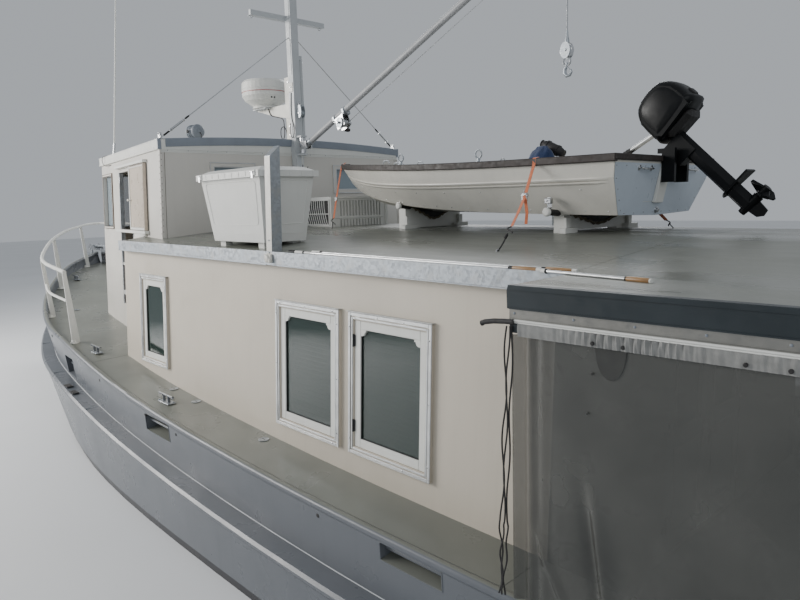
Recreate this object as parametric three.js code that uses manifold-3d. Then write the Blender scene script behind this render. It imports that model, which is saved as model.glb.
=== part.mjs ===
// Steel trawler yacht with a boat deck, a forward pilothouse, a mast with a derrick boom and a tender.
// Millimetres. +X is the bow, +Y is port, +Z is up. The origin is amidships, at the waterline.
import * as THREE from 'three';
import { mergeVertices } from 'three/addons/utils/BufferGeometryUtils.js';
import Module from 'manifold-3d';

const wasm = await Module();
wasm.setup();

// Driving dimensions
const SEAT = 0.4; // running gap between pieces that rest on each other
const CLEAR = 6; // clearance around pieces that move
const SOLE_Z = 350; // saloon and cockpit sole
const SOLE_THICK = 30;
const SALOON_WELL = { fwdX: 860, half: 1960 }; // the space cut into the hull under the saloon
const COCKPIT_WELL = { aftX: -7560, half: 2080 };
const WALL = 60; // saloon wall thickness
const HOUSE_HALF = 2030; // saloon half-width at HOUSE_MID_Z
const HOUSE_MID_Z = 1700;
const HOUSE_LEAN = THREE.MathUtils.degToRad(3);
const HOUSE_AFT_X = -4950;
const HOUSE_FWD_X = 960;
const DECK_EDGE_Z = 2520; // top of the boat deck at its edge
const DECK_RISE = 30; // how much the boat deck's edge climbs from the cockpit to its front
const DECK_THICK = 100;
const DECK_CROWN = 112; // over the saloon's width
const DECK_FALL = 0.008; // slope beyond that width, over the cockpit
const DECK_HALF = 2045;
const DECK_FWD_X = 950;
const ROOF_STEP_X = -5061; // aft of here the boat deck is as wide as the cockpit
const ROOF_AFT_X = -7760;
const ROOF_HALF_FWD = 2550;
const ROOF_HALF_AFT = 2440;
const HEADER = 40; // thickness of the dark header board round the cockpit roof
// The pilothouse sides lean inboard; their half-widths are taken at footZ
const PILOT = {
  aftX: 290,
  fwdX: 3400,
  aftHalf: 1819,
  fwdHalf: 1352,
  wall: 50,
  footZ: 2451,
  topZ: 3550,
  soleZ: 1600,
  lean: THREE.MathUtils.degToRad(2.5),
};
const MAST = { x: 223, half: 53, topZ: 6600 };
const GOOSENECK = { swingX: 110, luffX: 10, z: 3640 };
const BOOM = { length: 4080, radius: 35, angle: THREE.MathUtils.degToRad(22.9) };
const HOOK_DROP = 1080;
const KEEL_Z = -1500;
const SHAFT = { z: -880, radius: 30, propX: -6380, propRadius: 400 };
const RUDDER_X = -6960;
const STEM_Z = 2060; // sheer height at the stem

// Colours, as seen on the real surfaces
const COLOURS = {
  hull: [0x9aa1a6, 0.35, 0.3],
  deck: [0x73736b, 0.45, 0.1],
  house: [0xcfc6b4, 0.6, 0],
  trim: [0x8f979c, 0.35, 0.7],
  header: [0x2f3a42, 0.5, 0.2],
  curtain: [0x5e5f59, 0.25, 0],
  glass: [0x25352f, 0.1, 0],
  white: [0xe6e5df, 0.45, 0],
  mast: [0xb9c0c3, 0.45, 0.2],
  black: [0x15171a, 0.35, 0],
  wood: [0x8a5f3a, 0.6, 0],
  steel: [0xb8bcc0, 0.25, 0.9],
  bronze: [0x9c7a3c, 0.35, 0.9],
  bottom: [0x6b2f2a, 0.8, 0],
};

const yacht = new THREE.Group();

function material(colour) {
  const [color, roughness, metalness] = COLOURS[colour];
  return new THREE.MeshStandardMaterial({ color, roughness, metalness });
}

// A closed three.js geometry as a manifold solid
function solid(geometry) {
  const bare = geometry.index ? geometry.toNonIndexed() : geometry.clone();
  bare.deleteAttribute('normal');
  bare.deleteAttribute('uv');
  const merged = mergeVertices(bare, 1e-3);
  const vertProperties = new Float32Array(merged.attributes.position.array);
  const triVerts = new Uint32Array(merged.index.array);
  const mesh = new wasm.Mesh({ numProp: 3, vertProperties, triVerts });
  mesh.merge();
  return new wasm.Manifold(mesh);
}

function geometryOf(manifold) {
  const { vertProperties, triVerts, numProp } = manifold.getMesh();
  const geometry = new THREE.BufferGeometry();
  const positions = new Float32Array((vertProperties.length / numProp) * 3);
  for (let i = 0; i < positions.length / 3; i += 1) {
    for (let k = 0; k < 3; k += 1) positions[3 * i + k] = vertProperties[numProp * i + k];
  }
  geometry.setAttribute('position', new THREE.BufferAttribute(positions, 3));
  geometry.setIndex(new THREE.BufferAttribute(new Uint32Array(triVerts), 1));
  return geometry;
}

function moved(manifold, x, y, z) {
  return solid(geometryOf(manifold).translate(x, y, z));
}

// The same piece on the other side of the centreline
function mirrored(manifold) {
  const geometry = geometryOf(manifold);
  const { array } = geometry.attributes.position;
  for (let i = 1; i < array.length; i += 3) array[i] = -array[i];
  const index = geometry.index.array;
  for (let i = 0; i < index.length; i += 3) [index[i], index[i + 1]] = [index[i + 1], index[i]];
  return solid(geometry);
}

function add(name, manifold, colour) {
  const geometry = geometryOf(manifold).toNonIndexed();
  geometry.computeVertexNormals();
  const mesh = new THREE.Mesh(geometry, material(colour));
  mesh.name = name;
  yacht.add(mesh);
}

function addPair(name, manifold, colour) {
  add(`${name}_port`, manifold, colour);
  add(`${name}_stbd`, mirrored(manifold), colour);
}

function box(x0, x1, y0, y1, z0, z1) {
  const geometry = new THREE.BoxGeometry(x1 - x0, y1 - y0, z1 - z0);
  return solid(geometry.translate((x0 + x1) / 2, (y0 + y1) / 2, (z0 + z1) / 2));
}

// A flat outline pushed along an axis: the outline's pairs are the two other axes in x, y, z order
function prism(axis, outline, from, to) {
  const shape = new THREE.Shape(outline.map(([a, b]) => new THREE.Vector2(a, b)));
  const geometry = new THREE.ExtrudeGeometry(shape, { depth: to - from, bevelEnabled: false });
  if (axis === 'z') return solid(geometry.translate(0, 0, from));
  if (axis === 'y') return solid(geometry.translate(0, 0, -to).rotateX(Math.PI / 2));
  const basis = new THREE.Matrix4().makeBasis(
    new THREE.Vector3(0, 1, 0),
    new THREE.Vector3(0, 0, 1),
    new THREE.Vector3(1, 0, 0),
  );
  return solid(geometry.translate(0, 0, from).applyMatrix4(basis));
}

// A skin over rings of points with both ends closed. From the side numbered mirrorFrom on, the
// faces are split the other way, so that port and starboard are true mirror images.
function loft(rings, mirrorFrom = Infinity) {
  const count = rings[0].length;
  const positions = rings.flat(2);
  const index = [];
  for (let r = 0; r + 1 < rings.length; r += 1) {
    for (let p = 0; p < count; p += 1) {
      const a = r * count + p;
      const b = r * count + ((p + 1) % count);
      if (p < mirrorFrom) index.push(a, b, b + count, a, b + count, a + count);
      else index.push(a, b, a + count, b, b + count, a + count);
    }
  }
  for (const [ring, flip] of [[0, false], [rings.length - 1, true]]) {
    const outline = rings[ring].map(([, y, z]) => new THREE.Vector2(y, z));
    const first = THREE.ShapeUtils.isClockWise(outline);
    for (const [a, b, c] of THREE.ShapeUtils.triangulateShape(outline, [])) {
      const [i, j, k] = [a, b, c].map((n) => n + ring * count);
      if (flip !== first) index.push(i, j, k);
      else index.push(i, k, j);
    }
  }
  const geometry = new THREE.BufferGeometry();
  geometry.setAttribute('position', new THREE.Float32BufferAttribute(positions, 3));
  geometry.setIndex(index);
  return outward(geometry);
}

// Turns a closed skin the right way out
function outward(geometry) {
  const { array } = geometry.attributes.position;
  const index = geometry.index.array;
  const corner = (i) => new THREE.Vector3().fromArray(array, 3 * index[i]);
  let volume = 0;
  for (let i = 0; i < index.length; i += 3) {
    volume += corner(i).dot(corner(i + 1).cross(corner(i + 2)));
  }
  if (volume < 0) {
    for (let i = 0; i < index.length; i += 3) [index[i], index[i + 1]] = [index[i + 1], index[i]];
  }
  return solid(geometry);
}

// A round bar between two points
function rod(from, to, radius, sides = 12, endRadius = radius) {
  const start = new THREE.Vector3(...from);
  const end = new THREE.Vector3(...to);
  const along = end.clone().sub(start);
  const geometry = new THREE.CylinderGeometry(endRadius, radius, along.length(), sides);
  const upright = new THREE.Vector3(0, 1, 0);
  geometry.applyQuaternion(new THREE.Quaternion().setFromUnitVectors(upright, along.normalize()));
  const middle = start.add(end).multiplyScalar(0.5);
  return solid(geometry.translate(middle.x, middle.y, middle.z));
}

// A round tube along a smooth line through the points
function tube(points, radius, steps, sides = 10) {
  const path = new THREE.CatmullRomCurve3(points.map((p) => new THREE.Vector3(...p)));
  const shape = new THREE.Shape();
  shape.absarc(0, 0, radius, 0, 2 * Math.PI);
  const round = new THREE.Shape(shape.getPoints(sides / 2).slice(0, -1));
  const settings = { steps, extrudePath: path, curveSegments: 1, bevelEnabled: false };
  return solid(new THREE.ExtrudeGeometry(round, settings));
}

// A hole for a pin of the given radius, clear of it at any turn
function bore(from, to, radius, sides = 12) {
  return rod(from, to, (radius + SEAT) / Math.cos(Math.PI / sides), sides);
}

function union(pieces) {
  return pieces.reduce((sum, piece) => sum.add(piece));
}

// A smooth row of values between the rows of a table, at step u counted in rows
function between(table, u) {
  const i = Math.min(Math.floor(u), table.length - 2);
  const t = u - i;
  const row = (k) => table[Math.min(Math.max(k, 0), table.length - 1)];
  const [before, start, end, after] = [row(i - 1), row(i), row(i + 1), row(i + 2)];
  return start.map((_, c) => {
    const slope0 = (end[c] - before[c]) / 2;
    const slope1 = (after[c] - start[c]) / 2;
    const rise = end[c] - start[c];
    return start[c] + t * (slope0 + t * (3 * rise - 2 * slope0 - slope1 + t * (slope0 + slope1 - 2 * rise)));
  });
}

// Hull lines, one row for each station. Half-breadths and heights; the last three are how far aft of the
// sheer the ledge, the chine and the keel lie, which rakes the stem.
const HULL_LINES = [
  // x, sheer, sheerZ, bulwark, ledgeIn, ledgeOut, ledgeZ, chine, chineZ, keelZ, ledgeAft, chineAft, keelAft
  [-7700, 2300, 950, 16, 2300, 2440, 500, 2380, 60, -130, 0, 0, 0],
  [-5600, 2445, 945, 16, 2440, 2610, 500, 2570, -40, -470, 0, 0, 0],
  [-2900, 2520, 950, 16, 2520, 2700, 510, 2670, -60, -760, 0, 0, 0],
  [-300, 2530, 1060, 16, 2525, 2705, 625, 2670, -40, -890, 0, 0, 0],
  [1760, 2490, 1312, 48, 2460, 2640, 850, 2490, 60, -940, 0, 0, 0],
  [3300, 2300, 1440, 112, 2220, 2400, 975, 2160, 240, -940, 0, 0, 0],
  [4900, 1800, 1660, 150, 1690, 1840, 1160, 1480, 470, -860, 0, 20, 40],
  [6400, 1020, 1910, 165, 880, 1000, 1390, 660, 720, -540, 60, 80, 110],
  [7700, 40, STEM_Z, 220, 36, 44, 1560, 34, 1010, 100, 320, 392, 752],
];
const STEPS_PER_STATION = 4;
const PIPE = 32; // radius of the pipe along the deck edge
const FADE = 300; // half-breadth below which the edge mouldings shrink towards the stem
const CAMBER = 60;

function hullRing(row) {
  const [x, sheer, sheerZ, bulwark, ledgeIn, ledgeOut, ledgeZ] = row;
  const [chine, chineZ, keelZ, ledgeAft, chineAft, keelAft] = row.slice(7);
  const guard = Math.min(1, ledgeOut / FADE);
  const edge = Math.min(1, sheer / FADE);
  const ledgeX = x - ledgeAft;
  const half = [
    [x - keelAft, 0, keelZ],
    [x - chineAft, chine, chineZ],
    [ledgeX, ledgeOut - 20 * guard, ledgeZ - 66],
    [ledgeX, ledgeOut, ledgeZ - 44],
    [ledgeX, ledgeOut, ledgeZ - 20],
    [ledgeX, ledgeOut - 20 * guard, ledgeZ],
    [ledgeX, ledgeIn, ledgeZ + 6],
  ];
  for (const degrees of [-40, -5, 30, 65, 100, 130]) {
    const angle = THREE.MathUtils.degToRad(degrees);
    const y = sheer - 10 * edge + PIPE * edge * Math.cos(angle);
    half.push([x, y, sheerZ - PIPE + PIPE * Math.sin(angle)]);
  }
  const deckZ = sheerZ - bulwark;
  const crown = CAMBER * (sheer / 2500) ** 2;
  half.push([x, sheer - 44 * edge, deckZ]);
  half.push([x, sheer * 0.5, deckZ + 0.75 * crown]);
  half.push([x, 0, deckZ + crown]);
  const other = half.slice(1, -1).reverse().map(([px, py, pz]) => [px, -py, pz]);
  return [...half, ...other];
}

function hullRow(u) {
  return between(HULL_LINES, u);
}

// The row of the hull table where the sheer passes x
function hullRowAt(x) {
  let low = 0;
  let high = HULL_LINES.length - 1;
  for (let i = 0; i < 30; i += 1) {
    const middle = (low + high) / 2;
    if (hullRow(middle)[0] < x) low = middle;
    else high = middle;
  }
  return hullRow(low);
}

// Height of the deck's edge at x
function deckAt(x) {
  const [, , sheerZ, bulwark] = hullRowAt(x);
  return sheerZ - bulwark;
}

function hullShell() {
  const rings = [];
  const last = (HULL_LINES.length - 1) * STEPS_PER_STATION;
  for (let i = 0; i <= last; i += 1) rings.push(hullRing(hullRow(i / STEPS_PER_STATION)));
  return loft(rings, rings[0].length / 2);
}

// Keel with its heel shoe under the propeller, and the stern tube
function keel() {
  const fin = prism('y', [
    [-6060, KEEL_Z], [4300, KEEL_Z], [5450, -1260], [6250, -640], [6250, -300], [-5900, -300],
  ], -70, 70);
  const shoe = box(RUDDER_X - 80, -6050, -45, 45, KEEL_Z, KEEL_Z + 70);
  const pintle = rod([RUDDER_X, 0, KEEL_Z + 60], [RUDDER_X, 0, KEEL_Z + 130], 20);
  const sternTube = rod([-6120, 0, SHAFT.z], [-5900, 0, SHAFT.z], 62, 16);
  return union([fin, shoe, pintle, sternTube]);
}

// Recesses in the topsides for the mooring eyes
const POCKETS = [
  // middle x, lower edge, upper edge, length
  [1740, 862, 1135, 360],
  [-945, 765, 962, 530],
  [-4310, 740, 890, 500],
];

function pocket([x, low, high, length]) {
  const section = [[2330, low + 60], [2800, low - 10], [2800, high + 2], [2330, high]];
  return prism('x', section, x - length / 2, x + length / 2);
}

// Mooring cleats on the side decks and the foredeck
const CLEATS = [
  // x, distance inboard of the sheer
  [-700, 200],
  [1300, 210],
  [5900, 260],
];
const CLEAT = { half: 150, height: 78, barRadius: 13, legRadius: 14, legHalf: 55 };

function cleat([x, inboard]) {
  const y = hullRowAt(x)[1] - inboard;
  const z = deckAt(x);
  const top = z + CLEAT.height;
  const pieces = [rod([x - CLEAT.half, y, top], [x + CLEAT.half, y, top], CLEAT.barRadius, 10)];
  for (const legX of [x - CLEAT.legHalf, x + CLEAT.legHalf]) {
    pieces.push(rod([legX, y, z - 30], [legX, y, top], CLEAT.legRadius, 10));
  }
  return union(pieces);
}

const ENGINE = { x0: -900, x1: 700, half: 430, z0: -640, z1: 260 };
const HATCH = { x: 4700, half: 340, height: 110, wall: 60 };

function hull() {
  const hatchZ = deckAt(HATCH.x);
  const [hatchAft, hatchFwd] = [HATCH.x - HATCH.half, HATCH.x + HATCH.half];
  const clear = HATCH.half - HATCH.wall;
  let body = union([
    hullShell(),
    keel(),
    box(hatchAft, hatchFwd, -HATCH.half, HATCH.half, hatchZ - 100, hatchZ + HATCH.height),
    ...CLEATS.map(cleat),
    ...CLEATS.map((spot) => mirrored(cleat(spot))),
  ]);
  const engineHalf = ENGINE.half + SEAT;
  const cuts = [
    box(COCKPIT_WELL.aftX, HOUSE_AFT_X, -COCKPIT_WELL.half, COCKPIT_WELL.half, SOLE_Z, 2000),
    box(HOUSE_AFT_X - 1, SALOON_WELL.fwdX, -SALOON_WELL.half, SALOON_WELL.half, SOLE_Z - SOLE_THICK, 2000),
    box(ENGINE.x0 - SEAT, ENGINE.x1 + SEAT, -engineHalf, engineHalf, ENGINE.z0 - SEAT, SOLE_Z),
    box(hatchAft + HATCH.wall, hatchFwd - HATCH.wall, -clear, clear, hatchZ - 900, 3000),
    bore([-6200, 0, SHAFT.z], [-5400, 0, SHAFT.z], SHAFT.radius, 16),
    bore([RUDDER_X, 0, -600], [RUDDER_X, 0, 60], 40, 24),
  ];
  for (const spot of POCKETS) {
    cuts.push(pocket(spot), mirrored(pocket(spot)));
  }
  for (const cut of cuts) body = body.subtract(cut);
  return body;
}

const hullSolid = hull();
const hullRaised = moved(hullSolid, 0, 0, SEAT);
add('hull', hullSolid, 'hull');

// Engine and the sole over it
add('engine_block', box(ENGINE.x0, ENGINE.x1, -ENGINE.half, ENGINE.half, ENGINE.z0, ENGINE.z1), 'black');
const soleHalf = SALOON_WELL.half - 3;
const soleAft = HOUSE_AFT_X + WALL + 2;
const soleLow = SOLE_Z - SOLE_THICK + SEAT;
add('saloon_sole', box(soleAft, SALOON_WELL.fwdX - 2, -soleHalf, soleHalf, soleLow, SOLE_Z), 'wood');

// Propeller with its shaft
function propeller(centre, radius, hubRadius, hubLength, blades, chord) {
  const [x, y, z] = centre;
  const pieces = [rod([x - hubLength / 2, y, z], [x + hubLength / 2, y, z], hubRadius, 16)];
  for (let i = 0; i < blades; i += 1) {
    const blade = new THREE.BoxGeometry(chord * 0.28, chord, radius - hubRadius * 0.6);
    blade.translate(0, 0, (radius + hubRadius * 0.6) / 2);
    const { array } = blade.attributes.position;
    for (let k = 0; k < array.length; k += 3) {
      const share = (array[k + 2] - hubRadius) / (radius - hubRadius);
      const turn = 0.9 - 0.55 * share;
      const [bx, by] = [array[k], array[k + 1] * (1 - 0.25 * share)];
      array[k] = bx * Math.cos(turn) - by * Math.sin(turn);
      array[k + 1] = bx * Math.sin(turn) + by * Math.cos(turn);
    }
    blade.rotateX((2 * Math.PI * i) / blades).translate(x, y, z);
    pieces.push(solid(blade));
  }
  return union(pieces);
}

function mainPropeller() {
  const screw = propeller([SHAFT.propX, 0, SHAFT.z], SHAFT.propRadius, 80, 220, 4, 260);
  const shaft = rod([SHAFT.propX, 0, SHAFT.z], [-5500, 0, SHAFT.z], SHAFT.radius, 16);
  return screw.add(shaft);
}
add('propeller', mainPropeller(), 'bronze');

// Rudder blade on its stock, with a bore for the heel pintle
function rudder() {
  const top = -480;
  const bottom = KEEL_Z + 70 + CLEAR;
  const blade = prism('z', [
    [RUDDER_X + 150, 0], [RUDDER_X + 100, 34], [RUDDER_X, 45], [RUDDER_X - 430, 8],
    [RUDDER_X - 430, -8], [RUDDER_X, -45], [RUDDER_X + 100, -34],
  ], bottom, top);
  const stock = rod([RUDDER_X, 0, top - 50], [RUDDER_X, 0, 40], 40, 24);
  const heelBore = bore([RUDDER_X, 0, bottom - 5], [RUDDER_X, 0, KEEL_Z + 130 + CLEAR], 20);
  return blade.add(stock).subtract(heelBore);
}
add('rudder', rudder(), 'bottom');

// Saloon sides, leaning inboard, with proud frames round the three window openings
const WINDOW_FRAME = 50;
const FRAME_PROUD = 22;
const SALOON_WINDOWS = [
  // aft x, forward x, sill z, head z of the outer frame
  [-200, 470, 1220, 2190],
  [-3130, -2300, 1120, 2140],
  [-4070, -3250, 1120, 2140],
];

function leanPort(manifold) {
  const geometry = geometryOf(manifold).translate(0, 0, -HOUSE_MID_Z);
  return solid(geometry.rotateX(HOUSE_LEAN).translate(0, HOUSE_HALF, HOUSE_MID_Z));
}

function boatDeckEdge(x) {
  const share = (x - ROOF_STEP_X) / (DECK_FWD_X - ROOF_STEP_X);
  return DECK_EDGE_Z + DECK_RISE * THREE.MathUtils.clamp(share, 0, 1);
}

// Crowned over the saloon's width, and all but level from there out to half
function boatDeckRing(x, half) {
  const edge = boatDeckEdge(x);
  const outer = edge - DECK_FALL * (half - DECK_HALF);
  const ring = [[x, -half, edge - DECK_THICK], [x, half, edge - DECK_THICK], [x, half, outer]];
  const shoulder = 1 - 10 / DECK_HALF;
  for (let i = 0; i <= 8; i += 1) {
    const share = shoulder * (1 - i / 4);
    ring.push([x, DECK_HALF * share, edge + DECK_CROWN * (1 - share * share)]);
  }
  ring.push([x, -half, outer]);
  return ring;
}

// The pilothouse stands in a notch of this outline
function pilotHalf(x) {
  const share = (x - PILOT.aftX) / (PILOT.fwdX - PILOT.aftX);
  return PILOT.aftHalf + (PILOT.fwdHalf - PILOT.aftHalf) * share;
}

function boatDeck() {
  const slab = loft([
    boatDeckRing(ROOF_AFT_X + HEADER + SEAT, ROOF_HALF_AFT - HEADER - SEAT),
    boatDeckRing(ROOF_STEP_X, ROOF_HALF_FWD - HEADER - SEAT),
    boatDeckRing(ROOF_STEP_X + 1, DECK_HALF),
    boatDeckRing(DECK_FWD_X, DECK_HALF),
  ]);
  const notch = prism('z', [
    [PILOT.aftX - SEAT, -PILOT.aftHalf - SEAT], [DECK_FWD_X + 10, -pilotHalf(DECK_FWD_X + 10) - SEAT],
    [DECK_FWD_X + 10, pilotHalf(DECK_FWD_X + 10) + SEAT], [PILOT.aftX - SEAT, PILOT.aftHalf + SEAT],
  ], 2000, 3000);
  return slab.subtract(notch);
}
const boatDeckSolid = boatDeck();
const boatDeckRaised = moved(boatDeckSolid, 0, 0, SEAT);
const boatDeckLowered = moved(boatDeckSolid, 0, 0, -SEAT);
add('boat_deck', boatDeckSolid, 'deck');

function saloonSide() {
  let panel = box(HOUSE_AFT_X, HOUSE_FWD_X, -WALL, 0, 700, 2600);
  for (const [aft, forward, sill, head] of SALOON_WINDOWS) {
    const inset = WINDOW_FRAME;
    panel = panel.add(box(aft, forward, -1, FRAME_PROUD, sill, head));
    panel = panel.subtract(box(aft + inset, forward - inset, -100, 40, sill + inset, head - inset));
  }
  return leanPort(panel).subtract(hullRaised).subtract(boatDeckLowered).subtract(aboveDeckEdge());
}

// What lies above the underside of the boat deck's edge
function aboveDeckEdge() {
  const [aft, forward] = [HOUSE_AFT_X - 100, HOUSE_FWD_X + 60];
  const underside = (x) => boatDeckEdge(x) - DECK_THICK - SEAT;
  return prism('y', [
    [aft, underside(aft)], [forward, underside(forward)], [forward, 3200], [aft, 3200],
  ], -3000, 3000);
}
const saloonSideSolid = saloonSide();
addPair('saloon_side', saloonSideSolid, 'house');
addPair('saloon_glass', leanPort(box(-4050, 450, -WALL - SEAT - 8, -WALL - SEAT, 1150, 2180)), 'glass');

// Bulkheads at the saloon's ends, between the sides
function innerHalf(z) {
  return HOUSE_HALF - (z - HOUSE_MID_Z) * Math.tan(HOUSE_LEAN) - WALL / Math.cos(HOUSE_LEAN) - SEAT;
}

function bulkheadOutline(half, low, deckZ, high) {
  return [
    [-half, low], [half, low], [half, deckZ], [innerHalf(deckZ), deckZ], [innerHalf(high), high],
    [-innerHalf(high), high], [-innerHalf(deckZ), deckZ], [-half, deckZ],
  ];
}

const AFT_DOOR = { half: 650, low: 390, high: 2230, thick: 40 };
const AFT_HINGES = [620, 1310, 2010];

function aftBulkhead() {
  const outline = bulkheadOutline(soleHalf, SOLE_Z + SEAT, 975, 2480);
  const panel = prism('x', outline, HOUSE_AFT_X, HOUSE_AFT_X + WALL);
  const { half, low, high } = AFT_DOOR;
  const doorway = box(HOUSE_AFT_X - 10, HOUSE_AFT_X + 80, -half, half, low, high);
  let result = panel.subtract(doorway).subtract(aboveDeckEdge());
  for (const side of [-1, 1]) {
    const pivot = [HOUSE_AFT_X - 14, side * (half + 4)];
    for (const z of AFT_HINGES) {
      result = result.add(rod([...pivot, z - 60], [...pivot, z - 5], 10, 10));
      const ear = side > 0 ? [pivot[1] - 6, pivot[1] + 40] : [pivot[1] - 40, pivot[1] + 6];
      result = result.add(box(HOUSE_AFT_X - 10, HOUSE_AFT_X + 2, ...ear, z - 60, z - 5));
      result = result.add(rod([...pivot, z - 10], [...pivot, z + 45], 5, 8));
    }
  }
  return result;
}
add('saloon_bulkhead_aft', aftBulkhead(), 'house');

function forwardBulkhead() {
  const [low, high] = [900, 2480];
  const outline = [
    [-innerHalf(low), low], [innerHalf(low), low], [innerHalf(high), high], [-innerHalf(high), high],
  ];
  const panel = prism('x', outline, HOUSE_FWD_X - WALL, HOUSE_FWD_X);
  const companionway = box(800, 1000, -1200, -350, PILOT.soleZ, 2500);
  return panel.subtract(companionway).subtract(aboveDeckEdge()).subtract(hullRaised);
}
add('saloon_bulkhead_fwd', forwardBulkhead(), 'house');

// Double doors of the saloon, hung on their outboard edges and opening aft
function aftDoor() {
  const x0 = HOUSE_AFT_X + 4;
  const x1 = x0 + AFT_DOOR.thick;
  const [inner, outer] = [3, AFT_DOOR.half - CLEAR];
  const leaf = box(x0, x1, inner, outer, AFT_DOOR.low + CLEAR, AFT_DOOR.high - CLEAR);
  let door = leaf.subtract(box(x0 - 5, x1 + 5, inner + 120, outer - 120, 1270, 2070));
  const pivot = [HOUSE_AFT_X - 14, AFT_DOOR.half + 4];
  for (const z of AFT_HINGES) {
    const knuckle = rod([...pivot, z], [...pivot, z + 50], 10, 10);
    const strap = box(HOUSE_AFT_X - 10, HOUSE_AFT_X + 4.5, AFT_DOOR.half - 60, AFT_DOOR.half - 2, z, z + 50);
    const pinBore = bore([...pivot, z - 5], [...pivot, z + 55], 5, 8);
    door = door.add(knuckle.add(strap)).subtract(pinBore);
  }
  return door;
}
addPair('aft_door', aftDoor(), 'white');

// Galvanised fascia on each side of the boat deck, with an upright post that has a slanted top
const FASCIA = 14;

function fascia() {
  const inner = DECK_HALF + SEAT;
  const aft = ROOF_STEP_X + 12;
  const forward = DECK_FWD_X + SEAT;
  const outline = [
    [aft, boatDeckEdge(aft) - DECK_THICK - 4], [forward, boatDeckEdge(forward) - DECK_THICK - 4],
    [forward, boatDeckEdge(forward) + 6], [aft, boatDeckEdge(aft) + 6],
  ];
  return prism('y', outline, inner, inner + FASCIA);
}

const POST = { aft: -2326, fwd: -2247, inner: 80, footZ: 2460, outerTop: 3295, innerTop: 3376, lean: 30 };

function deckPost() {
  const outer = DECK_HALF + SEAT + FASCIA;
  const inner = DECK_HALF - POST.inner;
  const outline = [
    [inner, POST.footZ], [outer, POST.footZ], [outer - POST.lean, POST.outerTop],
    [inner - POST.lean, POST.innerTop],
  ];
  return prism('x', outline, POST.aft, POST.fwd).subtract(boatDeckRaised).subtract(boatDeckLowered);
}
addPair('deck_fascia', fascia().add(deckPost()), 'trim');

// Dark header board round the cockpit roof, with the curtain track under it
function roofHalf(x) {
  const share = (x - ROOF_STEP_X) / (ROOF_AFT_X - ROOF_STEP_X);
  return ROOF_HALF_FWD + (ROOF_HALF_AFT - ROOF_HALF_FWD) * share;
}

function cockpitBand(inset, thick, low, high) {
  const aft = ROOF_AFT_X + inset;
  const outline = [];
  for (const [x, depth] of [[ROOF_STEP_X, inset], [aft, inset]]) outline.push([x, roofHalf(x) - depth]);
  outline.push([aft, -roofHalf(aft) + inset], [ROOF_STEP_X, -ROOF_HALF_FWD + inset]);
  outline.push([ROOF_STEP_X, -ROOF_HALF_FWD + inset + thick], [aft + thick, -roofHalf(aft) + inset + thick]);
  outline.push([aft + thick, roofHalf(aft) - inset - thick], [ROOF_STEP_X, ROOF_HALF_FWD - inset - thick]);
  return prism('z', outline, low, high);
}
const TRACK_LOW = 2300;
const header = cockpitBand(0, HEADER, DECK_EDGE_Z - 110, DECK_EDGE_Z);
const track = cockpitBand(10, 14, TRACK_LOW, DECK_EDGE_Z - 100);
add('cockpit_header', header.add(track), 'header');

// Smoked vinyl curtains round the cockpit, as flat sheets from the track to the deck edge
const CURTAIN = { low: 975, inset: 12, thick: 8 };

function sideCurtain() {
  const ring = (x) => {
    const top = roofHalf(x) - CURTAIN.inset;
    const bottom = top - 10;
    return [
      [x, bottom, CURTAIN.low], [x, top, TRACK_LOW - SEAT],
      [x, top - CURTAIN.thick, TRACK_LOW - SEAT], [x, bottom - CURTAIN.thick, CURTAIN.low],
    ];
  };
  return loft([ring(ROOF_AFT_X + 30), ring(ROOF_STEP_X - 4)]);
}
addPair('curtain', sideCurtain(), 'curtain');

function aftCurtain() {
  const half = ROOF_HALF_AFT - 30;
  const aft = ROOF_AFT_X + CURTAIN.inset;
  return box(aft, aft + CURTAIN.thick, -half, half, CURTAIN.low, TRACK_LOW - SEAT);
}
add('curtain_aft', aftCurtain(), 'curtain');

// Posts that carry the aft corners of the cockpit roof
const ROOF_POST = { x: -7620, y: 2140, half: 30 };

function roofPost() {
  const { x, y, half } = ROOF_POST;
  const underDeck = DECK_EDGE_Z - DECK_THICK - SEAT;
  return box(x - half, x + half, y - half, y + half, 700, underDeck).subtract(hullRaised);
}
addPair('roof_post', roofPost(), 'trim');

// Pilothouse panels
const PILOT_ANGLE = Math.atan2(PILOT.aftHalf - PILOT.fwdHalf, PILOT.fwdX - PILOT.aftX);
const alongWall = (x) => (x - PILOT.aftX) / Math.cos(PILOT_ANGLE);
const DOORWAY = { aft: 1625, fwd: 2285, low: 1640, high: 3400, rungs: [[1760, 1815], [2165, 2195]] };
const SIDE_WINDOW = { aft: 2735, fwd: 3295, low: 2675, high: 3385, frame: 30, proud: 14 };
// The upper half-door, which slides aft along the wall from the doorway's middle
const LEAF = { aft: 860, width: 715, gap: 10, thick: 34, low: 2655, high: 3440, rim: 32, recess: 7 };
const LEAF_RAIL = 34;

// Turns a panel drawn along the wall, with its outer face at y = 0, into its place on the port side
function ontoWall(manifold) {
  const geometry = geometryOf(manifold).translate(0, 0, -PILOT.footZ).rotateX(PILOT.lean);
  return solid(geometry.rotateZ(-PILOT_ANGLE).translate(PILOT.aftX, PILOT.aftHalf, PILOT.footZ));
}

// Half-width between the inner faces of the pilothouse sides
function pilotInner(x, z) {
  const leaned = pilotHalf(x) - ((z - PILOT.footZ) * Math.tan(PILOT.lean)) / Math.cos(PILOT_ANGLE);
  return leaned - PILOT.wall / (Math.cos(PILOT_ANGLE) * Math.cos(PILOT.lean)) - SEAT;
}

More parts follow.
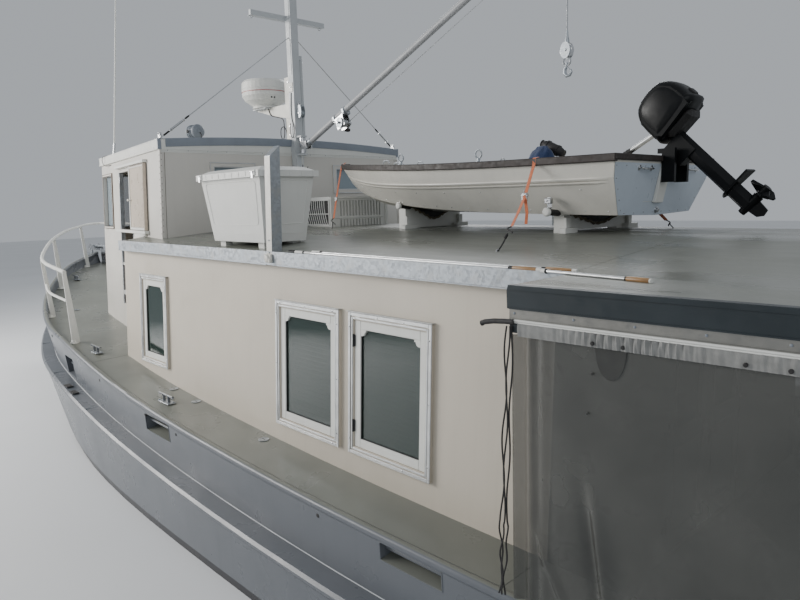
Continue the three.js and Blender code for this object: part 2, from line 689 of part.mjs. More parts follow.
function pilotSide() {
  const start = alongWall(HOUSE_FWD_X) + 9;
  const end = alongWall(PILOT.fwdX);
  const top = PILOT.topZ + 20;
  const foot = PILOT.footZ + 4;
  const outline = [[0, foot], [start, foot], [start, 900], [end, 900], [end, top], [0, top]];
  let panel = prism('y', outline, -PILOT.wall, 0);
  const { aft, fwd, low, high, frame, proud } = SIDE_WINDOW;
  panel = panel.add(box(
    alongWall(aft) - frame, alongWall(fwd) + frame, -1, proud, low - frame, high + frame,
  ));
  for (const hole of [DOORWAY, SIDE_WINDOW]) {
    panel = panel.subtract(box(alongWall(hole.aft), alongWall(hole.fwd), -100, 50, hole.low, hole.high));
  }
  for (const [rungLow, rungHigh] of DOORWAY.rungs) {
    const [from, to] = [alongWall(DOORWAY.aft) - 1, alongWall(DOORWAY.fwd) + 1];
    panel = panel.add(box(from, to, -35, -5, rungLow, rungHigh));
  }
  const shut = alongWall((DOORWAY.aft + DOORWAY.fwd) / 2) + LEAF.width / 2;
  const [railAft, railFwd] = [alongWall(LEAF.aft) - 25, shut + 25];
  const out = LEAF.gap + LEAF.thick + 8;
  for (const z of [LEAF.high + CLEAR, LEAF.low - CLEAR - LEAF_RAIL]) {
    panel = panel.add(box(railAft, railFwd, -1, out, z, z + LEAF_RAIL));
  }
  const abaft = box(0, PILOT.aftX, 1000, 2500, 2000, 4000);
  const above = box(0, 4000, 0, 2500, PILOT.topZ, 4000);
  return ontoWall(panel).subtract(hullRaised).subtract(boatDeckRaised).subtract(abaft).subtract(above);
}
addPair('pilothouse_side', pilotSide(), 'house');

function pilotDoor() {
  const u = alongWall(LEAF.aft);
  const { width, gap, thick, low, high, rim, recess } = LEAF;
  const leaf = box(u, u + width, gap, gap + thick, low, high);
  const face = gap + thick - recess;
  const panel = box(u + rim, u + width - rim, face, face + 50, low + rim, high - rim);
  const hangers = [90, width - 190].map((start) => (
    box(u + start, u + start + 100, gap + 8, gap + 24, high - 5, high + CLEAR - SEAT)
  ));
  return ontoWall(union([leaf.subtract(panel), ...hangers]));
}
addPair('pilothouse_door', pilotDoor(), 'house');

function pilotSideGlass() {
  const { aft, fwd, low, high } = SIDE_WINDOW;
  const face = -PILOT.wall - SEAT;
  return ontoWall(box(alongWall(aft) - 25, alongWall(fwd) + 25, face - 6, face, low - 25, high + 25));
}
addPair('pilothouse_glass', pilotSideGlass(), 'glass');

// A panel across the pilothouse, between its sides: narrowest at the x given
function pilotAcross(x, from, to, low, high) {
  const [halfLow, halfHigh] = [pilotInner(x, low), pilotInner(x, high)];
  return prism('x', [[-halfLow, low], [halfLow, low], [halfHigh, high], [-halfHigh, high]], from, to);
}

const FRONT_WINDOWS = [[-1160, -440], [-355, 355], [440, 1160]];
const FRONT_SILL = 2660;
const FRONT_HEAD = 3400;

function pilotFront() {
  const aft = PILOT.fwdX - PILOT.wall;
  let panel = pilotAcross(PILOT.fwdX, aft, PILOT.fwdX, 900, PILOT.topZ);
  for (const [y0, y1] of FRONT_WINDOWS) {
    panel = panel.subtract(box(3200, 3500, y0, y1, FRONT_SILL, FRONT_HEAD));
  }
  return panel.subtract(hullRaised);
}
add('pilothouse_front', pilotFront(), 'house');
const frontGlassX = PILOT.fwdX - PILOT.wall - SEAT;
const frontGlass = box(frontGlassX - 6, frontGlassX, -1185, 1185, FRONT_SILL - 25, FRONT_HEAD + 25);
add('pilothouse_glass_front', frontGlass, 'glass');

const AFT_WINDOWS = { inner: 640, outer: 1145, low: 3095, high: 3375, frame: 48, proud: 14 };

function pilotAft() {
  const { aftX, wall } = PILOT;
  const { inner, outer, low, high, frame, proud } = AFT_WINDOWS;
  let panel = pilotAcross(aftX + wall, aftX, aftX + wall, PILOT.footZ, PILOT.topZ);
  for (const side of [-1, 1]) {
    const [from, to] = side > 0 ? [inner, outer] : [-outer, -inner];
    panel = panel.add(box(aftX - proud, aftX + 1, from - frame, to + frame, low - frame, high + frame));
    panel = panel.subtract(box(200, 400, from, to, low, high));
  }
  return panel;
}
add('pilothouse_aft', pilotAft(), 'house');
const aftGlassX = PILOT.aftX + PILOT.wall + SEAT;
const aftGlassHalf = AFT_WINDOWS.outer + 25;
const aftGlass = box(
  aftGlassX, aftGlassX + 6, -aftGlassHalf, aftGlassHalf, AFT_WINDOWS.low - 25, AFT_WINDOWS.high + 25,
);
add('pilothouse_glass_aft', aftGlass, 'glass');

function pilotSole() {
  const aft = HOUSE_FWD_X + SEAT;
  const forward = PILOT.fwdX - PILOT.wall - SEAT;
  const outline = [
    [aft, pilotInner(aft, PILOT.soleZ)], [forward, pilotInner(forward, PILOT.soleZ)],
    [forward, -pilotInner(forward, PILOT.soleZ)], [aft, -pilotInner(aft, PILOT.soleZ)],
  ];
  return prism('z', outline, PILOT.soleZ - 50, PILOT.soleZ);
}
add('pilothouse_sole', pilotSole().subtract(hullRaised), 'wood');

const ROOF = { aftX: 280, fwdX: 3430, aftHalf: 1787, fwdHalf: 1320, crown: 65, thick: 110 };
const ROOF_EDGE_Z = PILOT.topZ + SEAT + ROOF.thick;

function roofRing(x, half) {
  const low = PILOT.topZ + SEAT;
  const ring = [[x, -half, low], [x, half, low]];
  for (let i = 0; i <= 8; i += 1) {
    const share = 1 - i / 4;
    ring.push([x, half * share, ROOF_EDGE_Z + ROOF.crown * (1 - share * share)]);
  }
  return ring;
}
const roofSolid = loft([roofRing(ROOF.aftX, ROOF.aftHalf), roofRing(ROOF.fwdX, ROOF.fwdHalf)]);
const roofRaised = moved(roofSolid, 0, 0, SEAT);
add('pilothouse_roof', roofSolid, 'white');

// Helm console and its wheel
const HELM = { x: 2760, z: 2330, radius: 290, sides: 480, pin: 18 };

function helmConsole() {
  const low = PILOT.soleZ + SEAT;
  const outline = [[HELM.x, low], [3300, low], [3300, 2560], [3000, 2620], [HELM.x, 2480]];
  const pin = rod([HELM.x - 60, 0, HELM.z], [HELM.x + 5, 0, HELM.z], HELM.pin, 24);
  return prism('y', outline, -HELM.sides, HELM.sides).add(pin);
}
add('helm_console', helmConsole(), 'wood');

function helmWheel() {
  const x = HELM.x - 45;
  const rim = new THREE.TorusGeometry(HELM.radius, 14, 8, 24).rotateY(Math.PI / 2).translate(x, 0, HELM.z);
  const pieces = [solid(rim), rod([x - 30, 0, HELM.z], [x + 30, 0, HELM.z], 50, 16)];
  for (let i = 0; i < 3; i += 1) {
    const angle = (2 * Math.PI * i) / 3 + Math.PI / 2;
    const end = [x, HELM.radius * Math.cos(angle), HELM.z + HELM.radius * Math.sin(angle)];
    pieces.push(rod([x, 0, HELM.z], end, 12, 8));
  }
  return union(pieces).subtract(bore([x - 60, 0, HELM.z], [x + 60, 0, HELM.z], HELM.pin, 24));
}
add('helm_wheel', helmWheel(), 'steel');

// Mast with its crosstree, radar bracket, conduit and gooseneck lugs
const RADAR = { x: 900, seatZ: 4175 };

function mast() {
  const { x, half, topZ } = MAST;
  const [aftFace, foreFace] = [x - half, x + half];
  const { swingX, z } = GOOSENECK;
  const web = [
    [foreFace - 5, 3985], [foreFace - 5, RADAR.seatZ], [1080, RADAR.seatZ], [1080, 4160], [930, 4120],
    [700, 4060], [470, 4015],
  ];
  const gusset = [[foreFace - 5, 3733], [430, 3733], [430, 4500], [foreFace - 5, 4500]];
  const pieces = [
    box(aftFace, foreFace, -half, half, 2500, topZ),
    box(foreFace - 5, foreFace + 35, -540, 540, 5150, 5210),
    prism('y', web, -20, 20),
    prism('y', gusset, -6, 6),
    box(RADAR.x - 150, RADAR.x + 150, -110, 110, RADAR.seatZ - 14, RADAR.seatZ),
    box(foreFace - 5, ROOF.aftX - SEAT, -60, 60, 3570, 3640),
    rod([swingX, 0, z - 115], [swingX, 0, z + 115], 12, 12),
  ];
  for (const low of [z - 120, z + 100]) {
    pieces.push(box(swingX - 40, aftFace + 5, -45, 45, low, low + 20));
  }
  const conduit = { x: x - 16, y: -95, low: 3560, high: 4740 };
  pieces.push(rod([conduit.x, conduit.y, conduit.low], [conduit.x, conduit.y, conduit.high], 22, 12));
  for (const low of [3600, 4150, 4690]) {
    pieces.push(box(conduit.x - 20, conduit.x + 20, conduit.y - 5, -half + 2, low, low + 30));
  }
  return union(pieces).subtract(boatDeckRaised);
}
add('mast', mast(), 'mast');

const radomeLine = [
  [0, 0], [150, 0], [165, 30], [262, 92], [300, 150], [305, 250], [300, 320], [270, 352], [0, 375],
];
const radome = new THREE.LatheGeometry(radomeLine.map(([r, z]) => new THREE.Vector2(r, z)), 32);
add('radome', solid(radome.rotateX(Math.PI / 2).translate(RADAR.x, 0, RADAR.seatZ + SEAT)), 'white');

// Gooseneck swivel: turns on the vertical pin and carries the boom's pin
function swivel() {
  const { swingX, luffX, z } = GOOSENECK;
  const barrel = rod([swingX, 0, z - 95], [swingX, 0, z + 95], 34, 16);
  const pieces = [barrel];
  for (const y of [-45, 30]) pieces.push(box(luffX - 40, swingX - 20, y, y + 15, z - 45, z + 45));
  pieces.push(box(swingX - 40, swingX - 10, -45, 45, z - 45, z + 45));
  pieces.push(rod([luffX, -40, z], [luffX, 40, z], 12, 12));
  return union(pieces).subtract(bore([swingX, 0, z - 130], [swingX, 0, z + 130], 12));
}
add('boom_swivel', swivel(), 'steel');

// Boom drawn level from its pivot at the origin, then raised
function raiseBoom(manifold) {
  const geometry = geometryOf(manifold).rotateY(BOOM.angle);
  return solid(geometry.translate(GOOSENECK.luffX, 0, GOOSENECK.z));
}

function boom() {
  const { length, radius } = BOOM;
  const pieces = [
    rod([-70, 0, 0], [-length, 0, 0], radius, 20),
    box(-110, 25, -20, 20, -28, 28),
    box(-length + 20, -length + 140, -32, -16, -110, -20),
    box(-length + 20, -length + 140, 16, 32, -110, -20),
    rod([-length + 80, -24, -80], [-length + 80, 24, -80], 9, 10),
  ];
  return union(pieces).subtract(bore([0, -40, 0], [0, 40, 0], 12));
}
add('boom', raiseBoom(boom()), 'mast');

// Where the hoist hangs from the boom's end
function boomPoint(along, below) {
  const point = new THREE.Vector3(-along, 0, -below).applyAxisAngle(new THREE.Vector3(0, 1, 0), BOOM.angle);
  return [point.x + GOOSENECK.luffX, 0, point.z + GOOSENECK.z];
}
const hookPivot = boomPoint(BOOM.length - 80, 80);

function hoistHook() {
  const [x, , z] = hookPivot;
  const eye = rod([x, -9, z], [x, 9, z], 26, 16);
  const low = z - HOOK_DROP;
  const wire = rod([x, 0, z - 20], [x, 0, low + 100], 7, 8);
  const block = rod([x, -22, low + 60], [x, 22, low + 60], 55, 16);
  const ring = new THREE.TorusGeometry(34, 9, 8, 16).rotateX(Math.PI / 2).translate(x, 0, low - 26);
  return union([eye, wire, block, solid(ring)]).subtract(bore([x, -20, z], [x, 20, z], 9, 10));
}
add('hoist_hook', hoistHook(), 'steel');

// Hand winch slung under the boom, drawn along the level boom and then raised
function boomWinch() {
  const along = -750;
  const seat = -BOOM.radius - SEAT;
  const axle = seat - 75;
  const crankY = -94;
  const pieces = [
    box(along - 110, along + 110, -50, 50, seat - 12, seat),
    box(along - 70, along + 70, -50, -38, seat - 130, seat - 6),
    box(along - 70, along + 70, 38, 50, seat - 130, seat - 6),
    rod([along, -100, axle], [along, 100, axle], 14, 10),
    rod([along, -40, axle], [along, 40, axle], 42, 16),
    box(along - 12, along + 160, crankY - 6, crankY + 6, axle - 12, axle + 12),
    rod([along + 148, crankY + 2, axle], [along + 148, crankY - 100, axle], 14, 10),
  ];
  return raiseBoom(union(pieces));
}
add('boom_winch', boomWinch(), 'steel');

// Mast stays to brackets on the aft corners of the pilothouse roof
const STAY = { footX: 330, footY: 1735, headZ: 4950, wire: 6, screw: 14 };

function stay() {
  const foot = [STAY.footX, STAY.footY, ROOF_EDGE_Z + 12];
  const head = [MAST.x, MAST.half - 10, STAY.headZ];
  const toward = new THREE.Vector3(...head).sub(new THREE.Vector3(...foot)).normalize();
  const at = (distance) => toward.clone().multiplyScalar(distance).add(new THREE.Vector3(...foot)).toArray();
  const pieces = [
    rod(foot, head, STAY.wire, 8),
    rod(at(140), at(360), STAY.screw, 8),
    box(STAY.footX - 28, STAY.footX + 28, STAY.footY - 12, STAY.footY + 12, 3600, ROOF_EDGE_Z + 48),
  ];
  const reach = MAST.half + SEAT;
  const post = box(MAST.x - MAST.half - 1, MAST.x + MAST.half + 1, -reach, reach, 2000, 7000);
  return union(pieces).subtract(roofRaised).subtract(post);
}
addPair('stay', stay(), 'steel');

// Searchlight on the pilothouse roof
function searchlight() {
  const [x, y, z] = [1250, 855, ROOF_EDGE_Z];
  const pieces = [
    rod([x, y, z - 60], [x, y, z + 150], 22, 12),
    rod([x - 85, y, z + 212], [x + 85, y, z + 212], 84, 20),
    rod([x, y, z + 60], [x, y, z + 150], 42, 12),
  ];
  return union(pieces).subtract(roofRaised);
}
add('searchlight', searchlight(), 'trim');

// Deck box: tapered body on feet, with an overhanging crowned lid hinged inboard
const DECK_BOX = {
  x: -1652,
  y: 1762,
  lowZ: 2598,
  highZ: 3165,
  halfLow: [428, 210],
  halfHigh: [505, 271],
  wall: 12,
};
const LID = { low: 3142, rim: 3194, top: 3227, half: [536, 301], crown: [446, 211], wall: 12 };

function taper(x, y, [hx0, hy0], z0, [hx1, hy1], z1) {
  const ring = (hx, hy, z) => [
    [x - hx, y - hy, z], [x + hx, y - hy, z], [x + hx, y + hy, z], [x - hx, y + hy, z],
  ];
  return hullOf(ring(hx0, hy0, z0), ring(hx1, hy1, z1));
}

// A six-faced solid between two four-cornered rings
function hullOf(low, high) {
  const positions = [...low, ...high].flat();
  const index = [0, 2, 1, 0, 3, 2, 4, 5, 6, 4, 6, 7];
  for (let i = 0; i < 4; i += 1) {
    const j = (i + 1) % 4;
    index.push(i, j, j + 4, i, j + 4, i + 4);
  }
  const geometry = new THREE.BufferGeometry();
  geometry.setAttribute('position', new THREE.Float32BufferAttribute(positions, 3));
  geometry.setIndex(index);
  return outward(geometry);
}

function deckBox() {
  const { x, y, lowZ, highZ, halfLow, halfHigh, wall } = DECK_BOX;
  const less = (pair) => pair.map((value) => value - wall);
  let body = taper(x, y, halfLow, lowZ, halfHigh, highZ);
  body = body.subtract(taper(x, y, less(halfLow), lowZ + 20, less(halfHigh), highZ + 1));
  for (const fx of [-330, 330]) {
    for (const fy of [-145, 145]) {
      body = body.add(box(x + fx - 45, x + fx + 45, y + fy - 35, y + fy + 35, 2500, lowZ + 5));
    }
  }
  return body.subtract(boatDeckRaised);
}
add('deck_box', deckBox(), 'white');

function deckBoxLid() {
  const { x, y, highZ } = DECK_BOX;
  const [hx, hy] = LID.half;
  const cap = box(x - hx, x + hx, y - hy, y + hy, LID.low, LID.rim);
  const crown = taper(x, y, [hx - 20, hy - 20], LID.rim - 1, LID.crown, LID.top);
  const [ix, iy] = [hx - LID.wall, hy - LID.wall];
  return cap.add(crown).subtract(box(x - ix, x + ix, y - iy, y + iy, LID.low - 20, highZ + SEAT));
}
add('deck_box_lid', deckBoxLid(), 'white');

// Ventilation unit with its louvred faces
const VENT = { aft: -920, fwd: -220, stbd: -470, port: 380, top: 2985, recess: 30 };
const VENT_SLOTS = [
  // low z, high z
  [2640, 2730],
  [2765, 2940],
];

function ventUnit() {
  let body = box(VENT.aft, VENT.fwd, VENT.stbd, VENT.port, 2500, VENT.top);
  for (const [low, high] of VENT_SLOTS) {
    for (let i = 0; i < 14; i += 1) {
      const y = -355 + i * 45;
      body = body.subtract(box(VENT.aft - 10, VENT.aft + VENT.recess, y, y + 22, low, high));
    }
  }
  return body.subtract(boatDeckRaised);
}
add('vent_unit', ventUnit(), 'white');

// Tender: open aluminium boat with a knuckle along its side, a gunwale rubber and seats
const TENDER = [
  // x, half-breadths of gunwale, knuckle and chine, heights of keel, chine, knuckle and gunwale, transom rake
  [-4600, 785, 750, 580, 2752, 2768, 3030, 3182, 98],
  [-3600, 800, 764, 600, 2766, 2790, 3036, 3193, 0],
  [-2700, 775, 734, 560, 2788, 2834, 3052, 3220, 0],
  [-1950, 655, 592, 410, 2820, 2900, 3090, 3262, 0],
  [-1400, 450, 382, 240, 2895, 2985, 3150, 3298, 0],
  [-1050, 265, 207, 120, 3020, 3090, 3205, 3325, 0],
  [-860, 140, 106, 60, 3180, 3210, 3265, 3340, 0],
  [-730, 30, 24, 16, 3330, 3334, 3340, 3350, 0],
];
const TENDER_SHELL = 28;
const RUBBER = { out: 20, depth: 42 };

function tenderRow(u) {
  const row = between(TENDER, u);
  row[8] = Math.max(0, TENDER[0][8] * (1 - u));
  return row;
}

// The outside of the tender, with the rubber along its gunwale
function tenderBody(from, to, steps, rubber) {
  const rings = [];
  for (let i = 0; i <= steps; i += 1) {
    const u = from + ((to - from) * i) / steps;
    const [x, top, knee, chine, keelZ, chineZ, kneeZ, topZ, rake] = tenderRow(u);
    const at = (z) => x + (rake * (topZ - z)) / (topZ - keelZ);
    const side = [[at(chineZ), chine, chineZ], [at(kneeZ), knee, kneeZ]];
    if (rubber) {
      const out = RUBBER.out * Math.min(1, top / 100);
      const low = topZ - RUBBER.depth * Math.min(1, (topZ - keelZ) / 120);
      side.push([at(low), top, low], [at(low), top + out, low], [x, top + out, topZ]);
    } else {
      side.push([x, top, topZ]);
    }
    const other = [...side].reverse().map(([px, py, pz]) => [px, -py, pz]);
    rings.push([[at(keelZ), 0, keelZ], ...side, ...other]);
  }
  return loft(rings);
}

// The space inside the tender's shell, open above the gunwale
function tenderInside() {
  const rings = [];
  const wall = TENDER_SHELL;
  for (let i = 0; i <= 18; i += 1) {
    const u = 0.03 + (6.3 * i) / 18;
    const [x, top, knee, chine, keelZ, chineZ, kneeZ, topZ, rake] = tenderRow(u);
    const at = (z) => x + wall * 0.4 + (rake * (topZ - z)) / (topZ - keelZ);
    const narrow = (half) => Math.max(half - wall, half * 0.4);
    const side = [
      [at(chineZ), narrow(chine), chineZ + wall], [at(kneeZ), narrow(knee), kneeZ],
      [at(topZ), narrow(top), topZ], [at(topZ), narrow(top), topZ + 60],
    ];
    const other = [...side].reverse().map(([px, py, pz]) => [px, -py, pz]);
    rings.push([[at(keelZ), 0, keelZ + wall], ...side, ...other]);
  }
  return loft(rings);
}

const TENDER_SEATS = [
  // x, z
  [-4250, 3000],
  [-2950, 2990],
  [-1950, 3040],
];
const tenderHull = tenderBody(0, 7, 21, false);

function tender() {
  let shell = tenderBody(0, 7, 21, true).subtract(tenderInside());
  for (const [x, z] of TENDER_SEATS) {
    shell = shell.add(box(x - 140, x + 140, -900, 900, z, z + 28).intersect(tenderHull));
  }
  return shell;
}
add('tender', tender(), 'white');

// Chocks under the tender, cut to its bottom and hollowed between their ends
function chock(x, half, top) {
  const block = box(x - 45, x + 45, -half, half, 2500, top);
  const foot = [[-half + 120, 2500], [half - 120, 2500], [half - 200, 2650], [-half + 200, 2650]];
  const arch = prism('x', foot, x - 50, x + 50);
  return block.subtract(arch).subtract(moved(tenderHull, 0, 0, -SEAT)).subtract(boatDeckRaised);
}
add('chock_aft', chock(-3970, 500, 2800), 'white');
add('chock_fwd', chock(-2100, 400, 2880), 'white');

// Outboard on the tender's transom, tilted up. Drawn upright about its clamp, then tilted.
const OUTBOARD = { x: -4660, z: 3200, tilt: THREE.MathUtils.degToRad(46), gearZ: -638, screwX: -206.4 };

const CLAMP = { half: 122, width: 32, drop: 205 };

function tilted(manifold) {
  return solid(geometryOf(manifold).rotateY(OUTBOARD.tilt).translate(OUTBOARD.x, 0, OUTBOARD.z));
}

// Upright outboard: cowl, midsection, leg with its plates, gearcase and tiller
function outboardBody() {
  const { gearZ } = OUTBOARD;
  const cowl = [
    [-345, 150], [-30, 120], [5, 165], [0, 330], [-60, 425],
    [-180, 455], [-300, 430], [-360, 340], [-370, 220],
  ];
  const narrow = [
    [-330, 150], [-50, 130], [-18, 175], [-24, 320], [-80, 405],
    [-180, 430], [-285, 410], [-335, 330], [-345, 225],
  ];
  const leg = [[-30, 0], [-50, 34], [-100, 38], [-144, 0], [-100, -38], [-50, -34]];
  const skeg = [[-45, gearZ], [-60, gearZ - 95], [-95, gearZ - 122], [-140, gearZ - 112], [-150, gearZ]];
  return union([
    prism('y', cowl, -105, 105),
    prism('y', narrow, -140, 140),
    prism('z', leg, gearZ, 150),
    prism('y', skeg, -9, 9),
    rod([-165, 0, gearZ], [-10, 0, gearZ], 37, 16, 26),
    prism('z', [[0, 0], [-30, 52], [-255, 78], [-255, -78], [-30, -52]], -478, -464),
    box(-120, 35, -48, 48, -90, 90),
    rod([-10, 0, 230], [285, 0, 318], 17, 10, 21),
  ]);
}

function outboard() {
  const { x, z } = OUTBOARD;
  const [inner, outer] = [CLAMP.half - CLAMP.width, CLAMP.half];
  const clamp = [rod([x, -outer, z], [x, outer, z], 24, 12)];
  for (const [from, to] of [[-outer, -inner], [inner, outer]]) {
    clamp.push(box(x - 35, x + 95, from, to, z + 5, z + 40));
    clamp.push(box(x - 35, x + 62, from, to, z - CLAMP.drop, z + 20));
  }
  const transom = moved(tenderBody(0, 7, 21, true), -SEAT, 0, SEAT);
  return tilted(outboardBody()).add(union(clamp)).subtract(transom);
}
add('outboard', outboard(), 'black');
const outboardScrew = propeller([OUTBOARD.screwX, 0, OUTBOARD.gearZ], 105, 30, 82, 3, 72);
add('outboard_propeller', tilted(outboardScrew), 'black');

// Bow rails: one smooth tube on tapered plates set athwart, with a mid rail between the two aft ones
const RAIL = [
  // x, half-breadth and height of the tube's middle
  [1850, 2412, 2165],
  [3700, 2160, 2225],
  [4700, 1805, 2365],
  [5400, 1498, 2455],
  [6200, 1040, 2560],
  [7000, 545, 2612],
  [7450, 230, 2640],
  [7610, SEAT, 2645],
];
const MID_RAIL = [[1850, 2415, 1810], [2800, 2345, 1830], [3700, 2140, 1850]];
const RAIL_PLATES = [0, 1, 3, 5]; // rows of the rail table with a plate under them
const PLATE = { out: 26, in: 20, footIn: 108, thick: 14 };

function railPlate([x, y, z]) {
  const foot = deckAt(x) - 30;
  const outer = Math.min(y + PLATE.out, hullRowAt(x)[1] - 85);
  const outline = [
    [y - PLATE.footIn, foot], [outer, foot], [y + PLATE.out, z - 20], [y + 12, z], [y - 12, z],
    [y - PLATE.in, z - 20],
  ];
  return prism('x', outline, x - PLATE.thick / 2, x + PLATE.thick / 2);
}

function bowRail() {
  const pieces = [tube(RAIL, 24, 32, 10), tube(MID_RAIL, 17, 8, 8)];
  for (const row of RAIL_PLATES) pieces.push(railPlate(RAIL[row]));
  const otherSide = box(0, 9000, -3000, SEAT, 0, 4000);
  return union(pieces).subtract(hullRaised).subtract(otherSide);
}
addPair('bow_rail', bowRail(), 'white');

// Windlass, and the anchor on its roller at the stem
const WINDLASS = { x: 6285, halfLength: 135, halfWidth: 110, height: 210, drumHalf: 210, drumRadius: 60 };

function windlass() {
  const { x, halfLength, halfWidth, height, drumHalf, drumRadius } = WINDLASS;
  const deckZ = deckAt(x);
  const axle = deckZ + 170;
  const base = box(x - halfLength, x + halfLength, -halfWidth, halfWidth, deckZ - 100, deckZ + height);
  const drums = rod([x, -drumHalf, axle], [x, drumHalf, axle], drumRadius, 16);
  return base.add(drums).subtract(hullRaised);
}
add('windlass', windlass(), 'trim');

// Channel at the stem that carries the anchor roller
function bowRoller() {
  const seat = STEM_Z + 35;
  const cheek = [[7700, seat], [8060, seat], [8060, seat + 45], [7960, seat + 125], [7700, seat + 45]];
  const pieces = [
    box(7080, 8060, -95, 95, seat - 5, seat + 10),
    box(7100, 7420, -60, 60, STEM_Z - 400, seat),
    rod([7980, -90, seat + 57], [7980, 90, seat + 57], 38, 16),
  ];
  for (const y of [-95, 83]) pieces.push(prism('y', cheek, y, y + 12));
  return union(pieces).subtract(hullRaised);
}
add('bow_roller', bowRoller(), 'steel');

function anchor() {
  const top = STEM_Z + 135;
  const shankLine = [
    [7250, top], [8080, top], [8120, top - 35], [8180, top - 205], [8140, top - 215], [8070, top - 45],
    [7250, top - 25],
  ];
  const flukeLine = [
    [8200, top - 165], [8150, top - 205], [7880, top - 305], [8000, top - 345], [8170, top - 325],
  ];
  const point = prism('z', [[8210, 170], [8210, -170], [7870, 0]], top - 400, top - 100);
  const roller = box(7940, 8020, -96, 96, top - 85, top - 5 + SEAT);
  const fluke = prism('y', flukeLine, -160, 160).intersect(point);
  return prism('y', shankLine, -14, 14).add(fluke).subtract(roller);
}
add('anchor', anchor(), 'steel');

// Foredeck hatch lid, hinged on its forward edge
function hatchLid() {
  const top = deckAt(HATCH.x) + HATCH.height;
  const half = HATCH.half + 20;
  return box(HATCH.x - half, HATCH.x + half, -half, half, top + SEAT, top + 40);
}
add('fore_hatch', hatchLid(), 'white');

// Swim platform on the transom, with gaps between its slats
const PLATFORM = { aft: -8240, half: 1700, low: 215, high: 255, slats: 5, pitch: 96, slot: 30, rim: 60 };

function swimPlatform() {
  const { aft, half, low, high, slats, pitch, slot, rim } = PLATFORM;
  const forward = HULL_LINES[0][0] - SEAT;
  let deck = box(aft, forward, -half, half, low, high);
  for (let i = 0; i < slats; i += 1) {
    const x = aft + 50 + i * pitch;
    for (const [from, to] of [[-half + rim, -20], [20, half - rim]]) {
      deck = deck.subtract(box(x, x + slot, from, to, low - 15, high + 15));
    }
  }
  for (const y of [-1300, 0, 1300]) {
    deck = deck.add(prism('y', [[-8100, low + 1], [forward, 120], [forward, low + 1]], y - 15, y + 15));
  }
  return deck;
}
add('swim_platform', swimPlatform().subtract(hullRaised), 'wood');

export default yacht;
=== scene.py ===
"""Looks of the trawler yacht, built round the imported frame.

Metres: +X is the bow, +Y is port, +Z is up, and z = 0 is the water that the yacht floats on.
"""
import math

import bmesh
import bpy
import numpy as np
from mathutils import Matrix, Vector


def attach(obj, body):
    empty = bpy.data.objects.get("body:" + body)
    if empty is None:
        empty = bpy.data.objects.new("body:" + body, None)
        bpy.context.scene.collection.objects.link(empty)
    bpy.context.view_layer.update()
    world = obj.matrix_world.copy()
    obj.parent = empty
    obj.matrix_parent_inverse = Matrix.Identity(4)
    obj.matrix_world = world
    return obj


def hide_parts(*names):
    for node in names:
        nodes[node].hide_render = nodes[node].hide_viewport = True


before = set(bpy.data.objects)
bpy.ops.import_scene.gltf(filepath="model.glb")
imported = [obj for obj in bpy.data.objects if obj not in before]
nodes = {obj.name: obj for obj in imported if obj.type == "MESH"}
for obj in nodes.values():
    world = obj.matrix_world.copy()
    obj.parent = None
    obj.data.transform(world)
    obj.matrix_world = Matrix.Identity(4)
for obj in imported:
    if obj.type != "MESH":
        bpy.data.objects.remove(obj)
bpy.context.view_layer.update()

# Camera, solved from the perspective of the photograph
CAMERA_AT = Vector((-6.9, 4.93, 2.90))
CAMERA_FORWARD = Vector((0.7243, -0.674, -0.1455)).normalized()
CAMERA_UP = Vector((0.0875, -0.1194, 0.989))
LENS = 29.8

# Main sizes, as in the part
HOUSE = {"half": 2.03, "mid": 1.70, "lean": math.radians(3)}
DECK = {"half": 2.045, "edge": 2.52, "rise": 0.03, "crown": 0.112, "fwd": 0.95, "step": -5.061}
PILOT = {"aft": 0.29, "fwd": 3.40, "aft_half": 1.819, "fwd_half": 1.352, "foot": 2.451}
PILOT_ANGLE = math.atan2(PILOT["aft_half"] - PILOT["fwd_half"], PILOT["fwd"] - PILOT["aft"])
PILOT_LEAN = math.radians(2.5)
ROOF = {"aft": 0.28, "fwd": 3.43, "aft_half": 1.787, "fwd_half": 1.32, "edge": 3.6604, "crown": 0.065}
MAST = {"x": 0.223, "half": 0.053}
BOOM = {"x": 0.01, "z": 3.64, "angle": math.radians(22.9)}
OUTBOARD = {"x": -4.66, "z": 3.20, "tilt": math.radians(46)}
COCKPIT = {"fwd": -5.061, "aft": -7.76, "fwd_half": 2.55, "aft_half": 2.44}

# The hull's edge lines, as in the part
HULL_ROWS = [
    # x, sheer, sheer z, bulwark, ledge inner, ledge outer, ledge z, chine, chine z
    (-7.70, 2.300, 0.950, 0.016, 2.300, 2.440, 0.500, 2.380, 0.060),
    (-5.60, 2.445, 0.945, 0.016, 2.440, 2.610, 0.500, 2.570, -0.040),
    (-2.90, 2.520, 0.950, 0.016, 2.520, 2.700, 0.510, 2.670, -0.060),
    (-0.30, 2.530, 1.060, 0.016, 2.525, 2.705, 0.625, 2.670, -0.040),
    (1.76, 2.490, 1.312, 0.048, 2.460, 2.640, 0.850, 2.490, 0.060),
    (3.30, 2.300, 1.440, 0.112, 2.220, 2.400, 0.975, 2.160, 0.240),
    (4.90, 1.800, 1.660, 0.150, 1.690, 1.840, 1.160, 1.480, 0.470),
    (6.40, 1.020, 1.910, 0.165, 0.880, 1.000, 1.390, 0.660, 0.720),
    (7.70, 0.040, 2.060, 0.220, 0.036, 0.044, 1.560, 0.034, 1.010),
]


def between(table, u):
    """A smooth row between the rows of a table, at step u counted in rows."""
    i = min(int(u), len(table) - 2)
    t = u - i
    before, start, end, after = (np.array(table[min(max(k, 0), len(table) - 1)]) for k in range(i - 1, i + 3))
    slope0, slope1, rise = (end - before) / 2, (after - start) / 2, end - start
    return start + t * (slope0 + t * (3 * rise - 2 * slope0 - slope1 + t * (slope0 + slope1 - 2 * rise)))


